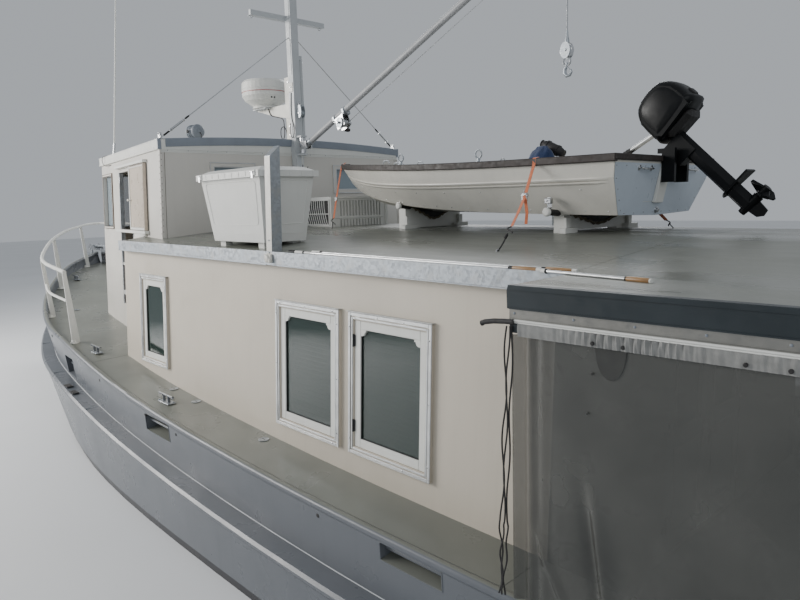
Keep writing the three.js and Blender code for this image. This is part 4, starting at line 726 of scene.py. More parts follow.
def boathooks():
    """Three poles that lie on the deck's edge, with wooden grips, white sleeves and collars."""
    poles, grips, caps, dark = pieces(4)
    for start, end, radius, wood0, wood1 in POLES:
        low, high = (Vector((*spot, roof_deck_z(*spot) + radius + 0.001)) for spot in (start, end))
        between_ends = [low.lerp(high, t) for t in np.linspace(0, 1, 9)]
        lift = max(0, max(roof_deck_z(*spot.xy) + radius + 0.001 - spot.z for spot in between_ends))
        low.z, high.z = low.z + lift, high.z + lift
        poles.rod(low.lerp(high, 0.02), low.lerp(high, wood0), radius)
        grips.tube([low.lerp(high, wood0 + (wood1 - wood0) * t) for t in (0, 0.06, 0.5, 0.94, 1)],
                   [radius + extra for extra in (0.001, 0.0035, 0.0045, 0.0035, 0.001)], 18)
        sleeves = [(caps, 0, 0.045, 0.0035), (caps, wood1, wood1 + 0.012, 0.0025),
                   (dark, 0.045, 0.054, 0.0045), (dark, wood0 - 0.012, wood0, 0.002)]
        if start == POLES[0][0]:
            sleeves.append((caps, 0.045, 0.09, 0.0015))
            bend = [(0.02, 0, 0), (0.09, 0, 0.002), (0.12, -0.012, 0.004), (0.115, -0.034, 0.006),
                    (0.08, -0.040, 0.006)]
            dark.tube([low + Vector(step) for step in bend], 0.005, 8)
        for piece, share0, share1, extra in sleeves:
            piece.rod(low.lerp(high, share0), low.lerp(high, share1), radius + extra, 16)
    poles.done("boathook_poles", "aluminium")
    grips.done("boathook_grips", "varnish")
    caps.done("boathook_caps", "plastic")
    dark.done("boathook_collars", "rubber")


def free_cord(name, points, radius):
    """A cable that lies free between the points."""
    points = [np.array(p, float) for p in points]
    path = [tuple(map(float, p)) for p in smooth_line(points, 5) + [points[-1]]]
    piece = Piece().tube(path, radius, 10).done(name, "rubber")


# Cockpit: header boards, track, hem and curtains
CLOSURES = [("port", 1), ("stbd", -1), ("aft", 0)]
PIPING = [(-0.002, 2.359, 0.0052), (-0.004, 2.3495, 0.004)]
HEM = [(0.001, 2.3475), (0.003, 2.336), (0.004, 2.321), (0.003, 2.304), (0.001, 2.287),
       (-0.001, 2.287), (0.0, 2.304), (0.0005, 2.321), (0.0, 2.336), (-0.002, 2.3475)]
SHEET = {"low": 0.978, "top": 2.294, "thick": 0.0016, "across": 150, "down": 44}


def on_cockpit(flip, along, out, z):
    """A place on the cockpit's closure: flip is 1 to port, -1 to starboard and 0 aft."""
    if flip:
        return along, flip * (cockpit_half(along) + out), z
    return COCKPIT["aft"] - out, along, z


def closure_ends(flip, ahead, behind):
    """Where a closure starts and ends, short of the cockpit's corners."""
    if flip:
        return COCKPIT["fwd"] - ahead, COCKPIT["aft"] + behind
    half = cockpit_half(COCKPIT["aft"]) - behind
    return -half, half


def header_details():
    """Cap along the header board, the aluminium track below it with its screws, and white piping."""
    cap, strip, screws, piping, aft_strip, aft_piping, ends = pieces(7)
    x0, x1 = COCKPIT["fwd"] - 0.004, COCKPIT["aft"] + 0.02
    strip.board(cockpit_half, (x0, x1), -0.0095, -0.006, 2.366, 2.4085)
    strip.board(cockpit_half, (x0, x1), -0.0095, -0.002, 2.364, 2.368)
    cap.board(cockpit_half, (x0, x1), 0.0005, 0.006, 2.498, 2.5195)
    cap.board(cockpit_half, (x0, x1), 0.0005, 0.003, 2.4105, 2.4165)
    for x in [-5.0906, -5.3887, -5.6574, -5.9289] + [-6.204 - 0.275 * k for k in range(6)]:
        screws.screw((x, cockpit_half(x) - 0.0058, 2.391), PORT, 5.8)
    half, aft = cockpit_half(x1), COCKPIT["aft"]
    for out, z, radius in PIPING:
        piping.tube([(x, cockpit_half(x) + out, z)
                     for x in np.linspace(x0 - 0.01, x1 + 0.01, 12)], radius, 10)
        aft_piping.rod((aft - out, -half, z), (aft - out, half, z), radius, 10)
    aft_strip.box((aft + 0.006, -half, 2.364), (aft + 0.0095, half, 2.4085), 0.001)
    ends.prism("y", [(-5.0605, 2.411), (-5.0540, 2.411), (-5.0515, 2.494), (-5.0605, 2.5195)], 2.511, 2.5495)
    strip.done("track_strip", "strip", mirror=True)
    cap.done("header_cap", "header", mirror=True)
    screws.done("track_screws", "slate", mirror=True)
    piping.done("hem_piping", "plastic", "vinyl", mirror=True)
    aft_strip.done("track_strip_aft", "strip")
    aft_piping.done("hem_piping_aft", "plastic", "vinyl")
    ends.done("header_end", "header", mirror=True)


def gathered_hem():
    """The gathered cloth band that the clear panels are sewn to, with its snaps."""
    snaps = Piece()
    steps = 480
    for suffix, flip in CLOSURES:
        start, end = closure_ends(flip, 0.05, 0.03)
        rings, phase = [], 0.0
        for i in range(steps + 1):
            along = start + (end - start) * i / steps
            phase += 0.72 + 0.30 * math.sin(along * 5.3) + 0.22 * math.sin(along * 17.1)
            swell = 0.0062 * (0.62 + 0.38 * math.sin(along * 7.7 + 1))
            ring = []
            for out, z in HEM:
                depth = (2.3475 - z) / 0.0605
                pucker = math.sin(phase + depth * 1.7) * (1 - 0.6 * depth)
                pucker += 0.5 * math.sin(phase * 2.3 - depth)
                ring.append(on_cockpit(flip, along, out - 0.004 + swell * pucker, z))
            rings.append(ring)
        Piece().loft(rings).done("gathered_hem_" + suffix, "hem", smooth=70)
        side_snaps = [-5.481, -5.614, -6.068, -6.21, -6.66, -6.80, -7.25, -7.39]
        for along in side_snaps if flip else [-2.0, -1.0, -0.86, 0.0, 1.0, 1.14, 2.0]:
            axis = (0, flip, 0) if flip else AFT
            snaps.lathe(on_cockpit(flip, along, 0.0035, 2.3035), axis,
                        (8.5, -4, 8.5, 1.5, 6, 3.5, 3, 3.5), 16)
    snaps.done("hem_snaps", "rubber", "stainless")


def forward_folds(edge, share):
    """Tight folds at a side curtain's forward edge, and creases that start part way down and run aft."""
    out = 0.013 * math.sin(edge * 82 + 0.9 * share) * math.exp(-((edge / 0.13) ** 2))
    path = edge - 0.39 - 0.19 * max(0, share - 0.44) ** 0.8
    ridge = max(0.0, min(1.0, (share - 0.42) * 4))
    out += ridge * 0.026 * math.exp(-((path / (0.018 if path < 0 else 0.05)) ** 2))
    out -= ridge * 0.015 * math.exp(-(((path + 0.05) / 0.03) ** 2))
    sweep = edge - 0.10 - 1.1 * max(0, share - 0.62) ** 1.6
    out += 0.016 * max(0.0, min(1.0, (share - 0.55) * 4)) * math.exp(-((sweep / 0.022) ** 2))
    return out + 0.010 * math.exp(-(((edge - 0.30) / 0.09) ** 2)) * math.sin(math.pi * share)


def curtain(suffix, flip):
    """One hanging sheet of smoked vinyl, whose soft folds deepen downward."""
    across, down, height = SHEET["across"], SHEET["down"], SHEET["top"] - SHEET["low"]
    start, end = closure_ends(flip, 0.005, 0.032 if flip else 0.034)
    front, back = [], []
    for j in range(down + 1):
        share = j / down
        z = SHEET["top"] - height * share
        for i in range(across + 1):
            along = start + (end - start) * (i / across) ** (1.25 if flip else 1)
            soft = 0.012 * math.sin(along * 4.1 + 0.8 * share) + 0.007 * math.sin(along * 9.7 - 1.3 * share)
            out = soft * (0.25 + 0.75 * share) - 0.018 - 0.010 * share
            if flip:
                out += forward_folds(abs(along - start), share)
            front.append(on_cockpit(flip, along, out, z))
            back.append(on_cockpit(flip, along, out - SHEET["thick"], z))
    width, offset = across + 1, len(front)
    faces = []
    for a in (j * width + i for j in range(down) for i in range(across)):
        faces.append((a, a + 1, a + width + 1, a + width))
        faces.append((offset + a, offset + a + width, offset + a + width + 1, offset + a + 1))
    border = list(range(across)) + [j * width + across for j in range(down)]
    border += [down * width + i for i in range(across, 0, -1)] + [j * width for j in range(down, 0, -1)]
    faces += [(a, offset + a, offset + b, b) for a, b in zip(border, border[1:] + border[:1])]
    sheet = Piece().put(front + back, faces).done("curtain_sheet_" + suffix, "vinyl", smooth=75)
    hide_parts("curtain_" + suffix)


def curtain_edges():
    """Zip cords at each side curtain's forward edge, a patch behind the vinyl, and the drain tube."""
    cords, tube, patches = pieces(3)
    inner, outer = [], []
    for angle in (math.pi * (1 + k / 24) for k in range(25)):
        x, z = -5.556 + 0.067 * math.cos(angle), 2.286 + 0.129 * math.sin(angle)
        y = cockpit_half(x) - 0.0095 - 0.010 * (2.294 - z) / 1.3
        inner.append((x, y - 0.004, z))
        outer.append((x, y + 0.0015, z))
    patches.loft([inner, outer])
    for x, z in ((-5.474, 2.171), (-5.455, 1.995)):
        patches.lathe((x, cockpit_half(x) - 0.012, z), PORT, (6, 0, 6, 4, 3, 6), 12)
    for k, (x, out, sway) in enumerate(((-5.055, -0.001, 0.010), (-5.066, 0.004, -0.008),
                                        (-5.082, -0.002, 0.006))):
        points = []
        for j in range(60):
            share = j / 59
            twist = max(0, share - 0.72) * 44 + 2.1 * k
            swing = sway * math.sin(j * 0.33 + k) + (0.006 * math.sin(twist) if share > 0.72 else 0)
            y = cockpit_half(x) + out + 0.004 * math.cos(twist)
            points.append((x + 0.05 * share + swing, y, 2.33 - 1.34 * share))
        cords.tube(points, 0.0042, 8)
    tube.tube([(-5.093, 2.549, 2.352), (-5.04, 2.552, 2.350), (-4.98, 2.555, 2.345), (-4.93, 2.556, 2.336),
               (-4.912, 2.556, 2.328)], 0.0125, 18)
    tube.lathe((-4.9115, 2.556, 2.3275), (0.93, 0.0, -0.36), (13.6, -4, 13.6, 1.5, 9, 2, 9, -20), 18)
    cords.done("curtain_cords", "rubber", mirror=True)
    patches.done("curtain_patch", "patch", mirror=True)
    tube.done("drain_tube", "rubber")


# Tender with its outboard and straps
TENDER_ROWS = [
    # x, half-breadths of gunwale, knuckle and chine, heights of keel, chine, knuckle and gunwale
    (-4.600, 0.785, 0.750, 0.580, 2.752, 2.768, 3.030, 3.182),
    (-3.600, 0.800, 0.764, 0.600, 2.766, 2.790, 3.036, 3.193),
    (-2.700, 0.775, 0.734, 0.560, 2.788, 2.834, 3.052, 3.220),
    (-1.950, 0.655, 0.592, 0.410, 2.820, 2.900, 3.090, 3.262),
    (-1.400, 0.450, 0.382, 0.240, 2.895, 2.985, 3.150, 3.298),
    (-1.050, 0.265, 0.207, 0.120, 3.020, 3.090, 3.205, 3.325),
    (-0.860, 0.140, 0.106, 0.060, 3.180, 3.210, 3.265, 3.340),
    (-0.730, 0.030, 0.024, 0.016, 3.330, 3.334, 3.340, 3.350),
]
TRANSOM_RAKE = 0.098
# Flat on the tender's transom: X out from it, Y athwart and Z up its face
ON_TRANSOM = (
    Matrix.Translation((-4.600, 0, 3.182)) @ Matrix.Rotation(-math.atan2(TRANSOM_RAKE, 3.182 - 2.752), 4, "Y")
)


def tender_at(u, z, out=0.0):
    """A place on the tender's port side at height z, out from its skin."""
    x, top, knee, chine, keel_z, chine_z, knee_z, top_z = between(TENDER_ROWS, u)
    shift = max(0.0, TRANSOM_RAKE * (1 - u)) * (top_z - z) / (top_z - keel_z)
    if z > knee_z:
        half = knee + (top - knee) * (z - knee_z) / (top_z - knee_z)
    else:
        half = chine + (knee - chine) * (z - chine_z) / (knee_z - chine_z)
    return Vector((x + shift, half + out, z))


def tender_trim():
    """Rubber round the gunwale, two strakes along the knuckle, and rivets."""
    rubber, ends, strakes, rivets = pieces(4)
    rings = []
    for i in range(71):
        row = between(TENDER_ROWS, i / 10)
        x, top, top_z = row[0] - (0.004 if i == 0 else 0), row[1], row[7]
        rim = top + 0.020 * min(1, top / 0.1)
        inner = max(top - 0.031, top * 0.3)
        low = top_z - 0.042 * min(1, (top_z - row[4]) / 0.12)
        section = [(inner, top_z - 0.012), (inner, top_z + 0.0035), (inner + 0.006, top_z + 0.007),
                   (rim, top_z + 0.007), (rim + 0.006, top_z + 0.001), (rim + 0.006, low + 0.001),
                   (rim, low - 0.005), (top - 0.012, low - 0.005)]
        rings.append([(x, y, z) for y, z in section])
    rubber.loft(rings)
    ends.box((-4.611, -0.80, 3.146), (-4.566, 0.80, 3.1895), 0.006)
    ends.box((-0.765, -0.055, 3.318), (-0.715, 0.055, 3.361), 0.008)
    for top_drop, low_drop in ((-0.004, 0.020), (0.026, 0.042)):
        rings = []
        for i in range(61):
            u = 0.075 + 5.3 * i / 60
            swell = 0.013 * min(1, i / 2) * min(1, (60 - i) / 6) + 0.0006
            knee_z = between(TENDER_ROWS, u)[6]
            z0, z1 = knee_z - top_drop, knee_z - low_drop
            section = [(z0, -0.004), (z0, swell * 0.5), ((z0 + z1) / 2 + 0.003, swell),
                       (z1 + 0.004, swell * 0.9), (z1, -0.004)]
            rings.append([tender_at(u, z, out) for z, out in section])
        strakes.loft(rings)
    for i in range(23):
        u = 0.12 + 5.0 * i / 22
        row = between(TENDER_ROWS, u)
        for z in (row[7] - 0.062, row[5] + 0.028):
            rivets.screw(tender_at(u, z, 0.0002), (0, 1, 0.1), 4.8)
        if i % 2:
            rivets.screw(tender_at(u, row[6] - 0.075, 0.0002), (0, 1, -0.3), 4.8)
    rubber.done("gunwale_rubber", "brown_rubber", mirror=True)
    ends.done("gunwale_ends", "brown_rubber")
    strakes.done("tender_strakes", "cream", mirror=True, smooth=30)
    rivets.done("tender_rivets", "stainless", mirror=True)


def transom_trim():
    """Pale sheet on the transom with its motor board, two grab handles, rivets and a drain plug."""
    sheet, metal, plug, board = pieces(4, ON_TRANSOM)
    outline = [(-0.772, -0.052), (0.772, -0.052), (0.738, -0.166), (0.574, -0.422), (0.0, -0.439),
               (-0.574, -0.422), (-0.738, -0.166)]
    sheet.prism("x", outline, -0.0035, -0.0005)
    board.box((-0.030, -0.012, -0.338), (-0.004, 0.118, -0.046), 0.004)
    board.box((-0.006, 0.118, -0.332), (-0.004, 0.262, -0.329), 0.0005)
    for y in (0.34, -0.42):
        bends = [math.pi * k / 12 for k in range(13)]
        grip = [(-0.006 - 0.034 * math.sin(angle) ** 0.5, y - 0.085 * math.cos(angle), -0.085)
                for angle in bends]
        metal.tube(grip, 0.0075, 10)
        for end in (-0.088, 0.088):
            metal.lathe((-0.003, y + end, -0.085), AFT, (21, 0, 21, 3, 14, 6), 16)
    for y0, z0, y1, z1, count in ((-0.75, -0.072, 0.75, -0.072, 12), (0.56, -0.39, 0.715, -0.16, 4),
                                  (-0.56, -0.39, -0.715, -0.16, 4), (-0.5, -0.411, 0.5, -0.411, 8)):
        for share in np.linspace(0, 1, count):
            metal.screw((-0.0035, y0 + (y1 - y0) * share, z0 + (z1 - z0) * share), AFT, 5)
    plug.lathe((-0.003, 0.02, -0.398), AFT, (26, 0, 26, 4, 17, 6, 17, 18, 12, 22, 5, 22), 20)
    sheet.done("transom_sheet", "transom")
    board.done("motor_board", "white", "tender_paint")
    metal.done("transom_metal", "stainless")
    plug.done("transom_plug", "stainless")


def outboard_trim():
    """Cowl with rounded edges and a seam, and the tiller with its grip."""
    cowl, seam, bar, grip = pieces(4, ON_OUTBOARD)
    outline = [(-0.352, 0.150), (-0.030, 0.120), (0.008, 0.165), (0.004, 0.330), (-0.058, 0.430),
               (-0.180, 0.461), (-0.302, 0.436), (-0.366, 0.342), (-0.376, 0.220)]
    centre = Vector((-0.185, 0.285))
    curve = smooth_line([Vector(spot) for spot in outline], 4, closed=True)
    rings = []
    for share in (k / 8 for k in range(-8, 9)):
        # The cowl's profile grows from its flat sides to its middle line
        scale = 0.62 + 0.40 * (1 - abs(share) ** 3.2) ** 0.42
        grown = [centre + (spot - centre) * scale for spot in curve]
        rings.append([(x, 0.149 * share, z) for x, z in grown])
    cowl.loft(rings)
    seam.tube([(centre.x + math.cos(a) * 0.193, 0.128 * math.sin(a), 0.178 - 0.02 * math.cos(a))
               for a in turns(40)], 0.007, 8, closed=True)
    seam.box((-0.30, -0.10, 0.085), (-0.06, 0.10, 0.155), 0.03)
    seam.box((-0.392, -0.035, 0.20), (-0.372, 0.035, 0.26), 0.006)
    grip.tube([(0.215, 0, 0.298), (0.24, 0, 0.3055), (0.29, 0, 0.3207)], [0.021, 0.0235, 0.0225], 18)
    for x in (0.245, 0.270):
        grip.lathe((x, 0, 0.233 + x * 0.3), (0.957, 0, 0.29), (20.5, -6, 25.5, -3, 25.5, 3, 20.5, 6), 18)
    bar.rod((-0.006, 0, 0.2315), (0.225, 0, 0.3008), 0.0195, 18)
    cowl.done("outboard_cowl", "black", smooth=50)
    seam.done("outboard_seam", "rubber")
    grip.done("tiller_grip", "rubber")
    bar.done("tiller_bar", "aluminium")


def straps():
    """Orange ratchet straps that hold the tender down, with buckles, hooks and black cord to the deck."""
    webs, steel, cord = pieces(3)

    def web(points, half=0.0135):
        rings = []
        for i, p in enumerate(points):
            along = (points[min(i + 1, len(points) - 1)] - points[max(i - 1, 0)]).normalized()
            side = along.cross(Vector((0, 1, 0.3)).normalized()).normalized()
            over = side.cross(along).normalized() * 0.0014
            side *= half
            rings.append([p + side + over, p - side + over, p - side - over, p + side - over])
        webs.loft(rings)

    def s_hook(at, toward):
        along = (toward - at).normalized()
        side = along.cross(Vector(UP)).normalized()
        points = []
        for k in range(19):
            swing = (0.022 if k < 10 else 0.030) * math.sin(math.pi * 1.6 * k / 18)
            points.append(at + along * (0.075 * k / 18) + side * swing)
        cord.tube(points, 0.0048, 8)

    def shifted(at, *steps):
        return [at + Vector(step) for step in steps]

    buckle, hook = Vector((-4.03, 1.02, 2.915)), Vector((-4.15, 1.33, 2.720))
    eye = Vector((-4.215, 1.56, 2.575))
    over_gunwale = [tender_at(0.66, 3.19, -0.02), tender_at(0.66, 3.19, 0.024)]
    over_gunwale = [over_gunwale[0] + Vector((0, 0, 0.012)), over_gunwale[1] + Vector((0, 0, 0.006))]
    web(over_gunwale + [tender_at(0.66, 3.15, 0.034), buckle])
    web([buckle, buckle.lerp(hook, 0.5) + Vector((0, 0, -0.006)), hook])
    web(shifted(buckle, (0, 0.012, 0.01), (-0.03, 0.03, -0.03), (-0.045, 0.035, -0.11),
                (-0.04, 0.04, -0.19)), 0.012)
    steel.box(*shifted(buckle, (-0.022, -0.010, -0.030), (0.022, 0.012, 0.030)), 0.004)
    steel.rod(*shifted(buckle, (-0.028, 0, 0.01), (0.028, 0, 0.01)), 0.010, 12)
    s_hook(hook, eye)
    cord.tube([hook.lerp(eye, 0.30 + 0.7 * t) - Vector((0, 0, 0.010 * math.sin(math.pi * t)))
               for t in np.linspace(0, 1, 8)], 0.005, 8)
    for k in range(3):
        cord.lathe(hook.lerp(eye, 0.36 + 0.05 * k), eye - hook, (4, -8, 11, 0, 4, 8), 10)
    steel.lathe(eye - Vector((0, 0, 0.014)), UP, (30, 0, 30, 4, 12, 8), 16)
    steel.link(eye - Vector((0, 0, 0.004)), "yz", 0.014, 0.014, 0.0035)

    bow_over, bow_mid = tender_at(5.95, 3.335, 0.020), Vector((-1.10, 0.44, 2.955))
    bow_hook, bow_eye = Vector((-1.17, 0.54, 2.75)), Vector((-1.20, 0.60, 2.617))
    web([bow_over + Vector((0, -0.06, 0.030)), bow_over, bow_over.lerp(bow_mid, 0.5), bow_mid, bow_hook])
    steel.box(*shifted(bow_mid, (-0.018, -0.008, -0.024), (0.018, 0.010, 0.024)), 0.004)
    stern_hook, stern_eye = Vector((-4.43, -0.34, 2.70)), Vector((-4.47, -0.43, 2.612))
    web([Vector((-4.42, -0.20, 2.775)), Vector((-4.425, -0.27, 2.74)), stern_hook])
    for start, end in ((bow_hook, bow_eye), (stern_hook, stern_eye)):
        s_hook(start, end)
        cord.tube([start.lerp(end, t) for t in (0.3, 0.65, 1)], 0.0045, 8)
        steel.lathe(end - Vector((0, 0, 0.014)), UP, (28, 0, 28, 4, 12, 10), 16)
    webs.done("tie_down_straps", "strap")
    steel.done("strap_buckles", "stainless")
    cord.done("strap_hooks", "rubber")


# Pilothouse: roof bands, aerial, corner trims, door leaves, doorway and window trims
def roof_trim():
    """Dark band along the roof's aft edge, pale flashing under it, and lips along the sides."""
    band, lips, ends, screws, flashing = pieces(5)
    rings = []
    for y in np.linspace(-1.775, 1.7, 29):
        top = roof_top(ROOF["aft"], y) + 0.003
        low = top - 0.092
        section = [(0.2800, low), (0.2725, low), (0.2700, low + 0.006), (0.2700, top - 0.004), (0.2735, top),
                   (0.300, top)]
        rings.append([(x, y, z) for x, z in section])
    band.loft(rings)
    for out, low, high in ((0.008, 3.5510, 3.5610), (0.004, 3.6535, 3.6625)):
        lips.board(roof_half, (ROOF["aft"] + 0.02, ROOF["fwd"] + 0.002), -0.004, out, low, high)
    ends.box((0.2735, 1.752, 3.5508), (0.2900, 1.7935, 3.6700), 0.002)
    for x in np.linspace(0.45, 3.3, 11):
        screws.screw((x, roof_half(x) + 0.0005, 3.575), PORT, 5)
    for y in np.arange(-1.68, 1.70, 0.24):
        screws.screw((0.2844, y, 3.5415), AFT, 5.5)
    flashing.box((0.2845, -1.755, 3.5335), (0.2896, 1.755, 3.5495), 0.001)
    flashing.box((0.2868, -1.755, 3.5190), (0.2896, 1.755, 3.5330), 0.0008)
    band.done("roof_band_aft", "band")
    lips.done("roof_side_lips", "white", mirror=True)
    ends.done("roof_band_ends", "band", mirror=True)
    flashing.done("roof_flashing_aft", "white", "house_paint")
    screws.done("roof_screws", "stainless")


AERIAL_CABLE = [
    # x, out from the roof's edge, z
    (2.587, -0.036, 3.690), (2.615, -0.034, 3.690), (2.66, -0.030, 3.677), (2.74, -0.024, 3.669),
    (2.86, -0.018, 3.668), (2.96, -0.010, 3.668), (3.03, 0.003, 3.669), (3.075, 0.020, 3.658),
    (3.095, 0.027, 3.628), (3.095, 0.025, 3.594), (3.075, 0.021, 3.562), (3.035, 0.016, 3.541),
    (2.98, 0.010, 3.531), (2.90, 0.002, 3.528), (2.82, -0.008, 3.528), (2.76, -0.016, 3.528),
    (2.72, -0.0245, 3.530),
]


def antenna():
    """Whip aerial on the forward port edge of the roof, raked a little, with its cable over the edge."""
    whip, base = pieces(2)
    foot = Vector((2.57, roof_half(2.57) - 0.035, 3.665))
    rake = Vector((-0.105, -0.058, 1.0))
    whip.tube([foot + rake * 0.01, foot + rake * 1.4, foot + rake * 3.05], [0.012, 0.010, 0.005], 12)
    base.lathe(foot, UP, (32, 0, 32, 6, 18, 12, 18, 45, 12, 55), 18)
    base.lathe(foot, rake, (16.5, 40, 16.5, 130, 13.5, 150), 18)
    free_cord("aerial_cable", [(x, roof_half(x) + out, z) for x, out, z in AERIAL_CABLE], 0.0042)
    whip.done("whip_aerial", "plastic")
    base.done("aerial_base", "stainless")


def corner_trims():
    """Riveted angle on the pilothouse's aft corners."""
    angle, rivets = pieces(2, ON_PILOT)
    angle.box((-0.0025, -0.028, 2.580), (0.030, 0.0030, 3.520), 0.0012)
    for z in (2.63 + 0.066 * k for k in range(14)):
        rivets.screw((0.015, 0.0030, z), PORT, 6.2)
        rivets.screw((-0.0022, -0.014, z + 0.02), AFT, 5)
    angle.done("pilothouse_corners", "pilot", mirror=True)
    rivets.done("pilothouse_rivets", "brown", "stainless", mirror=True)


LEAF = {"aft": 0.860, "width": 0.715, "out": 0.044, "low": 2.655, "high": 3.440, "rim": 0.032,
        "recess": 0.007}
DOORWAY = {"aft": 1.625, "fwd": 2.285, "low": 1.64, "high": 3.40}
SIDE_WINDOW = {"aft": 2.735, "fwd": 3.295, "low": 2.675, "high": 3.385}
AFT_WINDOWS = [(0.640, 1.145), (-1.145, -0.640)]
FRONT_WINDOWS = [(-1.16, -0.44), (-0.355, 0.355), (0.44, 1.16)]


def sliding_doors():
    """Tan panel, dark edges and pale sill of the sliding leaf."""
    panel, edge, pale = pieces(3, ON_PILOT)
    u0 = along_pilot(LEAF["aft"])
    u1 = u0 + LEAF["width"]
    low, high, rim, face = LEAF["low"], LEAF["high"], LEAF["rim"], LEAF["out"] - LEAF["recess"]
    inset = rim + 0.001
    panel.box((u0 + inset, face + 0.0003, low + inset), (u1 - inset, face + 0.0035, high - inset), 0.001)
    panel.box((u0 - 0.0032, 0.0105, low + 0.002), (u0 + 0.0110, 0.0475, high - 0.002), 0.002)
    edge.box((u0 + 0.0112, 0.0405, low + 0.002), (u0 + 0.0148, 0.0480, high - 0.002), 0.001)
    edge.box((u0 + 0.015, 0.0405, high - 0.0125), (u1 - 0.001, 0.0470, high - 0.0012), 0.0015)
    inset = rim - 0.0035
    edge.frame((u0 + inset, low + inset), (u1 - inset, high - inset), 0.005, face, face + 0.0045, 0.0008)
    pale.box((u1 - 0.030, 0.0440, low + 0.002), (u1 + 0.0030, 0.0475, high - 0.002), 0.001)
    pale.box((u0 + 0.016, 0.0440, low + 0.001), (u1 - 0.031, 0.0478, low + 0.026), 0.002)
    pale.lathe((u1 - 0.05, 0.047, 3.02), PORT, (18, 0, 18, 3, 10, 4, 8, 20, 15, 26, 15, 34, 8, 38), 20)
    for suffix, piece, look in (("panel", panel, "tan"), ("edge", edge, "brown"), ("sill", pale, "white")):
        piece.done("sliding_leaf_" + suffix, look, mirror=True, body="pilothouse_door", both=True)


def doorways():
    """Jamb angles, hinges, white crossbars, caps of the leaf's rails and the rounded step under the leaf."""
    jambs, white, hinges = pieces(3, ON_PILOT)
    a, b = along_pilot(DOORWAY["aft"]), along_pilot(DOORWAY["fwd"])
    low, high = DOORWAY["low"], DOORWAY["high"]
    for u, turn in ((a, -1), (b, 1)):
        jambs.box((u - 0.002 * turn, 0.0005, low + 0.92), (u + 0.022 * turn, 0.0045, high), 0.001)
        jambs.box((u - 0.004 * turn, -0.048, low), (u - 0.0004 * turn, 0.004, high), 0.001)
    jambs.box((b + 0.001, 0.0005, low - 0.01), (b + 0.022, 0.0045, low + 0.92), 0.001)
    for z0, z1 in ((1.757, 1.818), (2.162, 2.198)):
        white.box((a + 0.005, -0.036, z0), (b - 0.005, -0.0035, z1), 0.003)
        for u in (a + 0.03, b - 0.03):
            white.box((u - 0.018, -0.0036, z0 + 0.004), (u + 0.018, 0.006, z1 - 0.004), 0.003)
    for z in (3.302, 2.640, 2.417, 1.92, 1.70):
        hinges.box((b + 0.003, 0.0043, z - 0.038), (b + 0.030, 0.0056, z + 0.038), 0.0005)
        hinges.rod((b - 0.004, -0.0005, z - 0.040), (b - 0.004, -0.0005, z + 0.040), 0.0060, 12)
        for dz in (-0.024, 0.0, 0.024):
            hinges.screw((b + 0.018, 0.0052, z + dz), PORT, 3.6)
    rail0 = along_pilot(LEAF["aft"]) - 0.025
    rail1 = along_pilot((DOORWAY["aft"] + DOORWAY["fwd"]) / 2) + LEAF["width"] / 2 + 0.025
    foot, head = LEAF["low"], LEAF["high"]
    white.box((rail0 - 0.004, 0.001, foot - 0.0432), (rail1 + 0.003, 0.0560, foot - 0.0072), 0.004)
    white.box((rail0 - 0.003, 0.001, head + 0.0072), (rail1 + 0.003, 0.0545, head + 0.0412), 0.004)
    rings = []
    for t, half, depth in ((0, 0.004, 0.010), (0.04, 0.022, 0.030), (0.12, 0.034, 0.040),
                           (0.30, 0.036, 0.042), (0.42, 0.030, 0.034), (0.50, 0.012, 0.016)):
        section = [(0.002, 2.607 - depth), (0.02 + half, 2.607 - depth * 0.8), (0.024 + half, 2.6105),
                   (0.002, 2.6105)]
        rings.append([(rail0 + 0.10 + t, y, z) for y, z in section])
    white.loft(rings)
    jambs.done("doorway_jambs", "galvanised", mirror=True)
    white.done("doorway_bars", "plastic", "white_paint", mirror=True)
    hinges.done("doorway_hinges", "stainless", mirror=True)


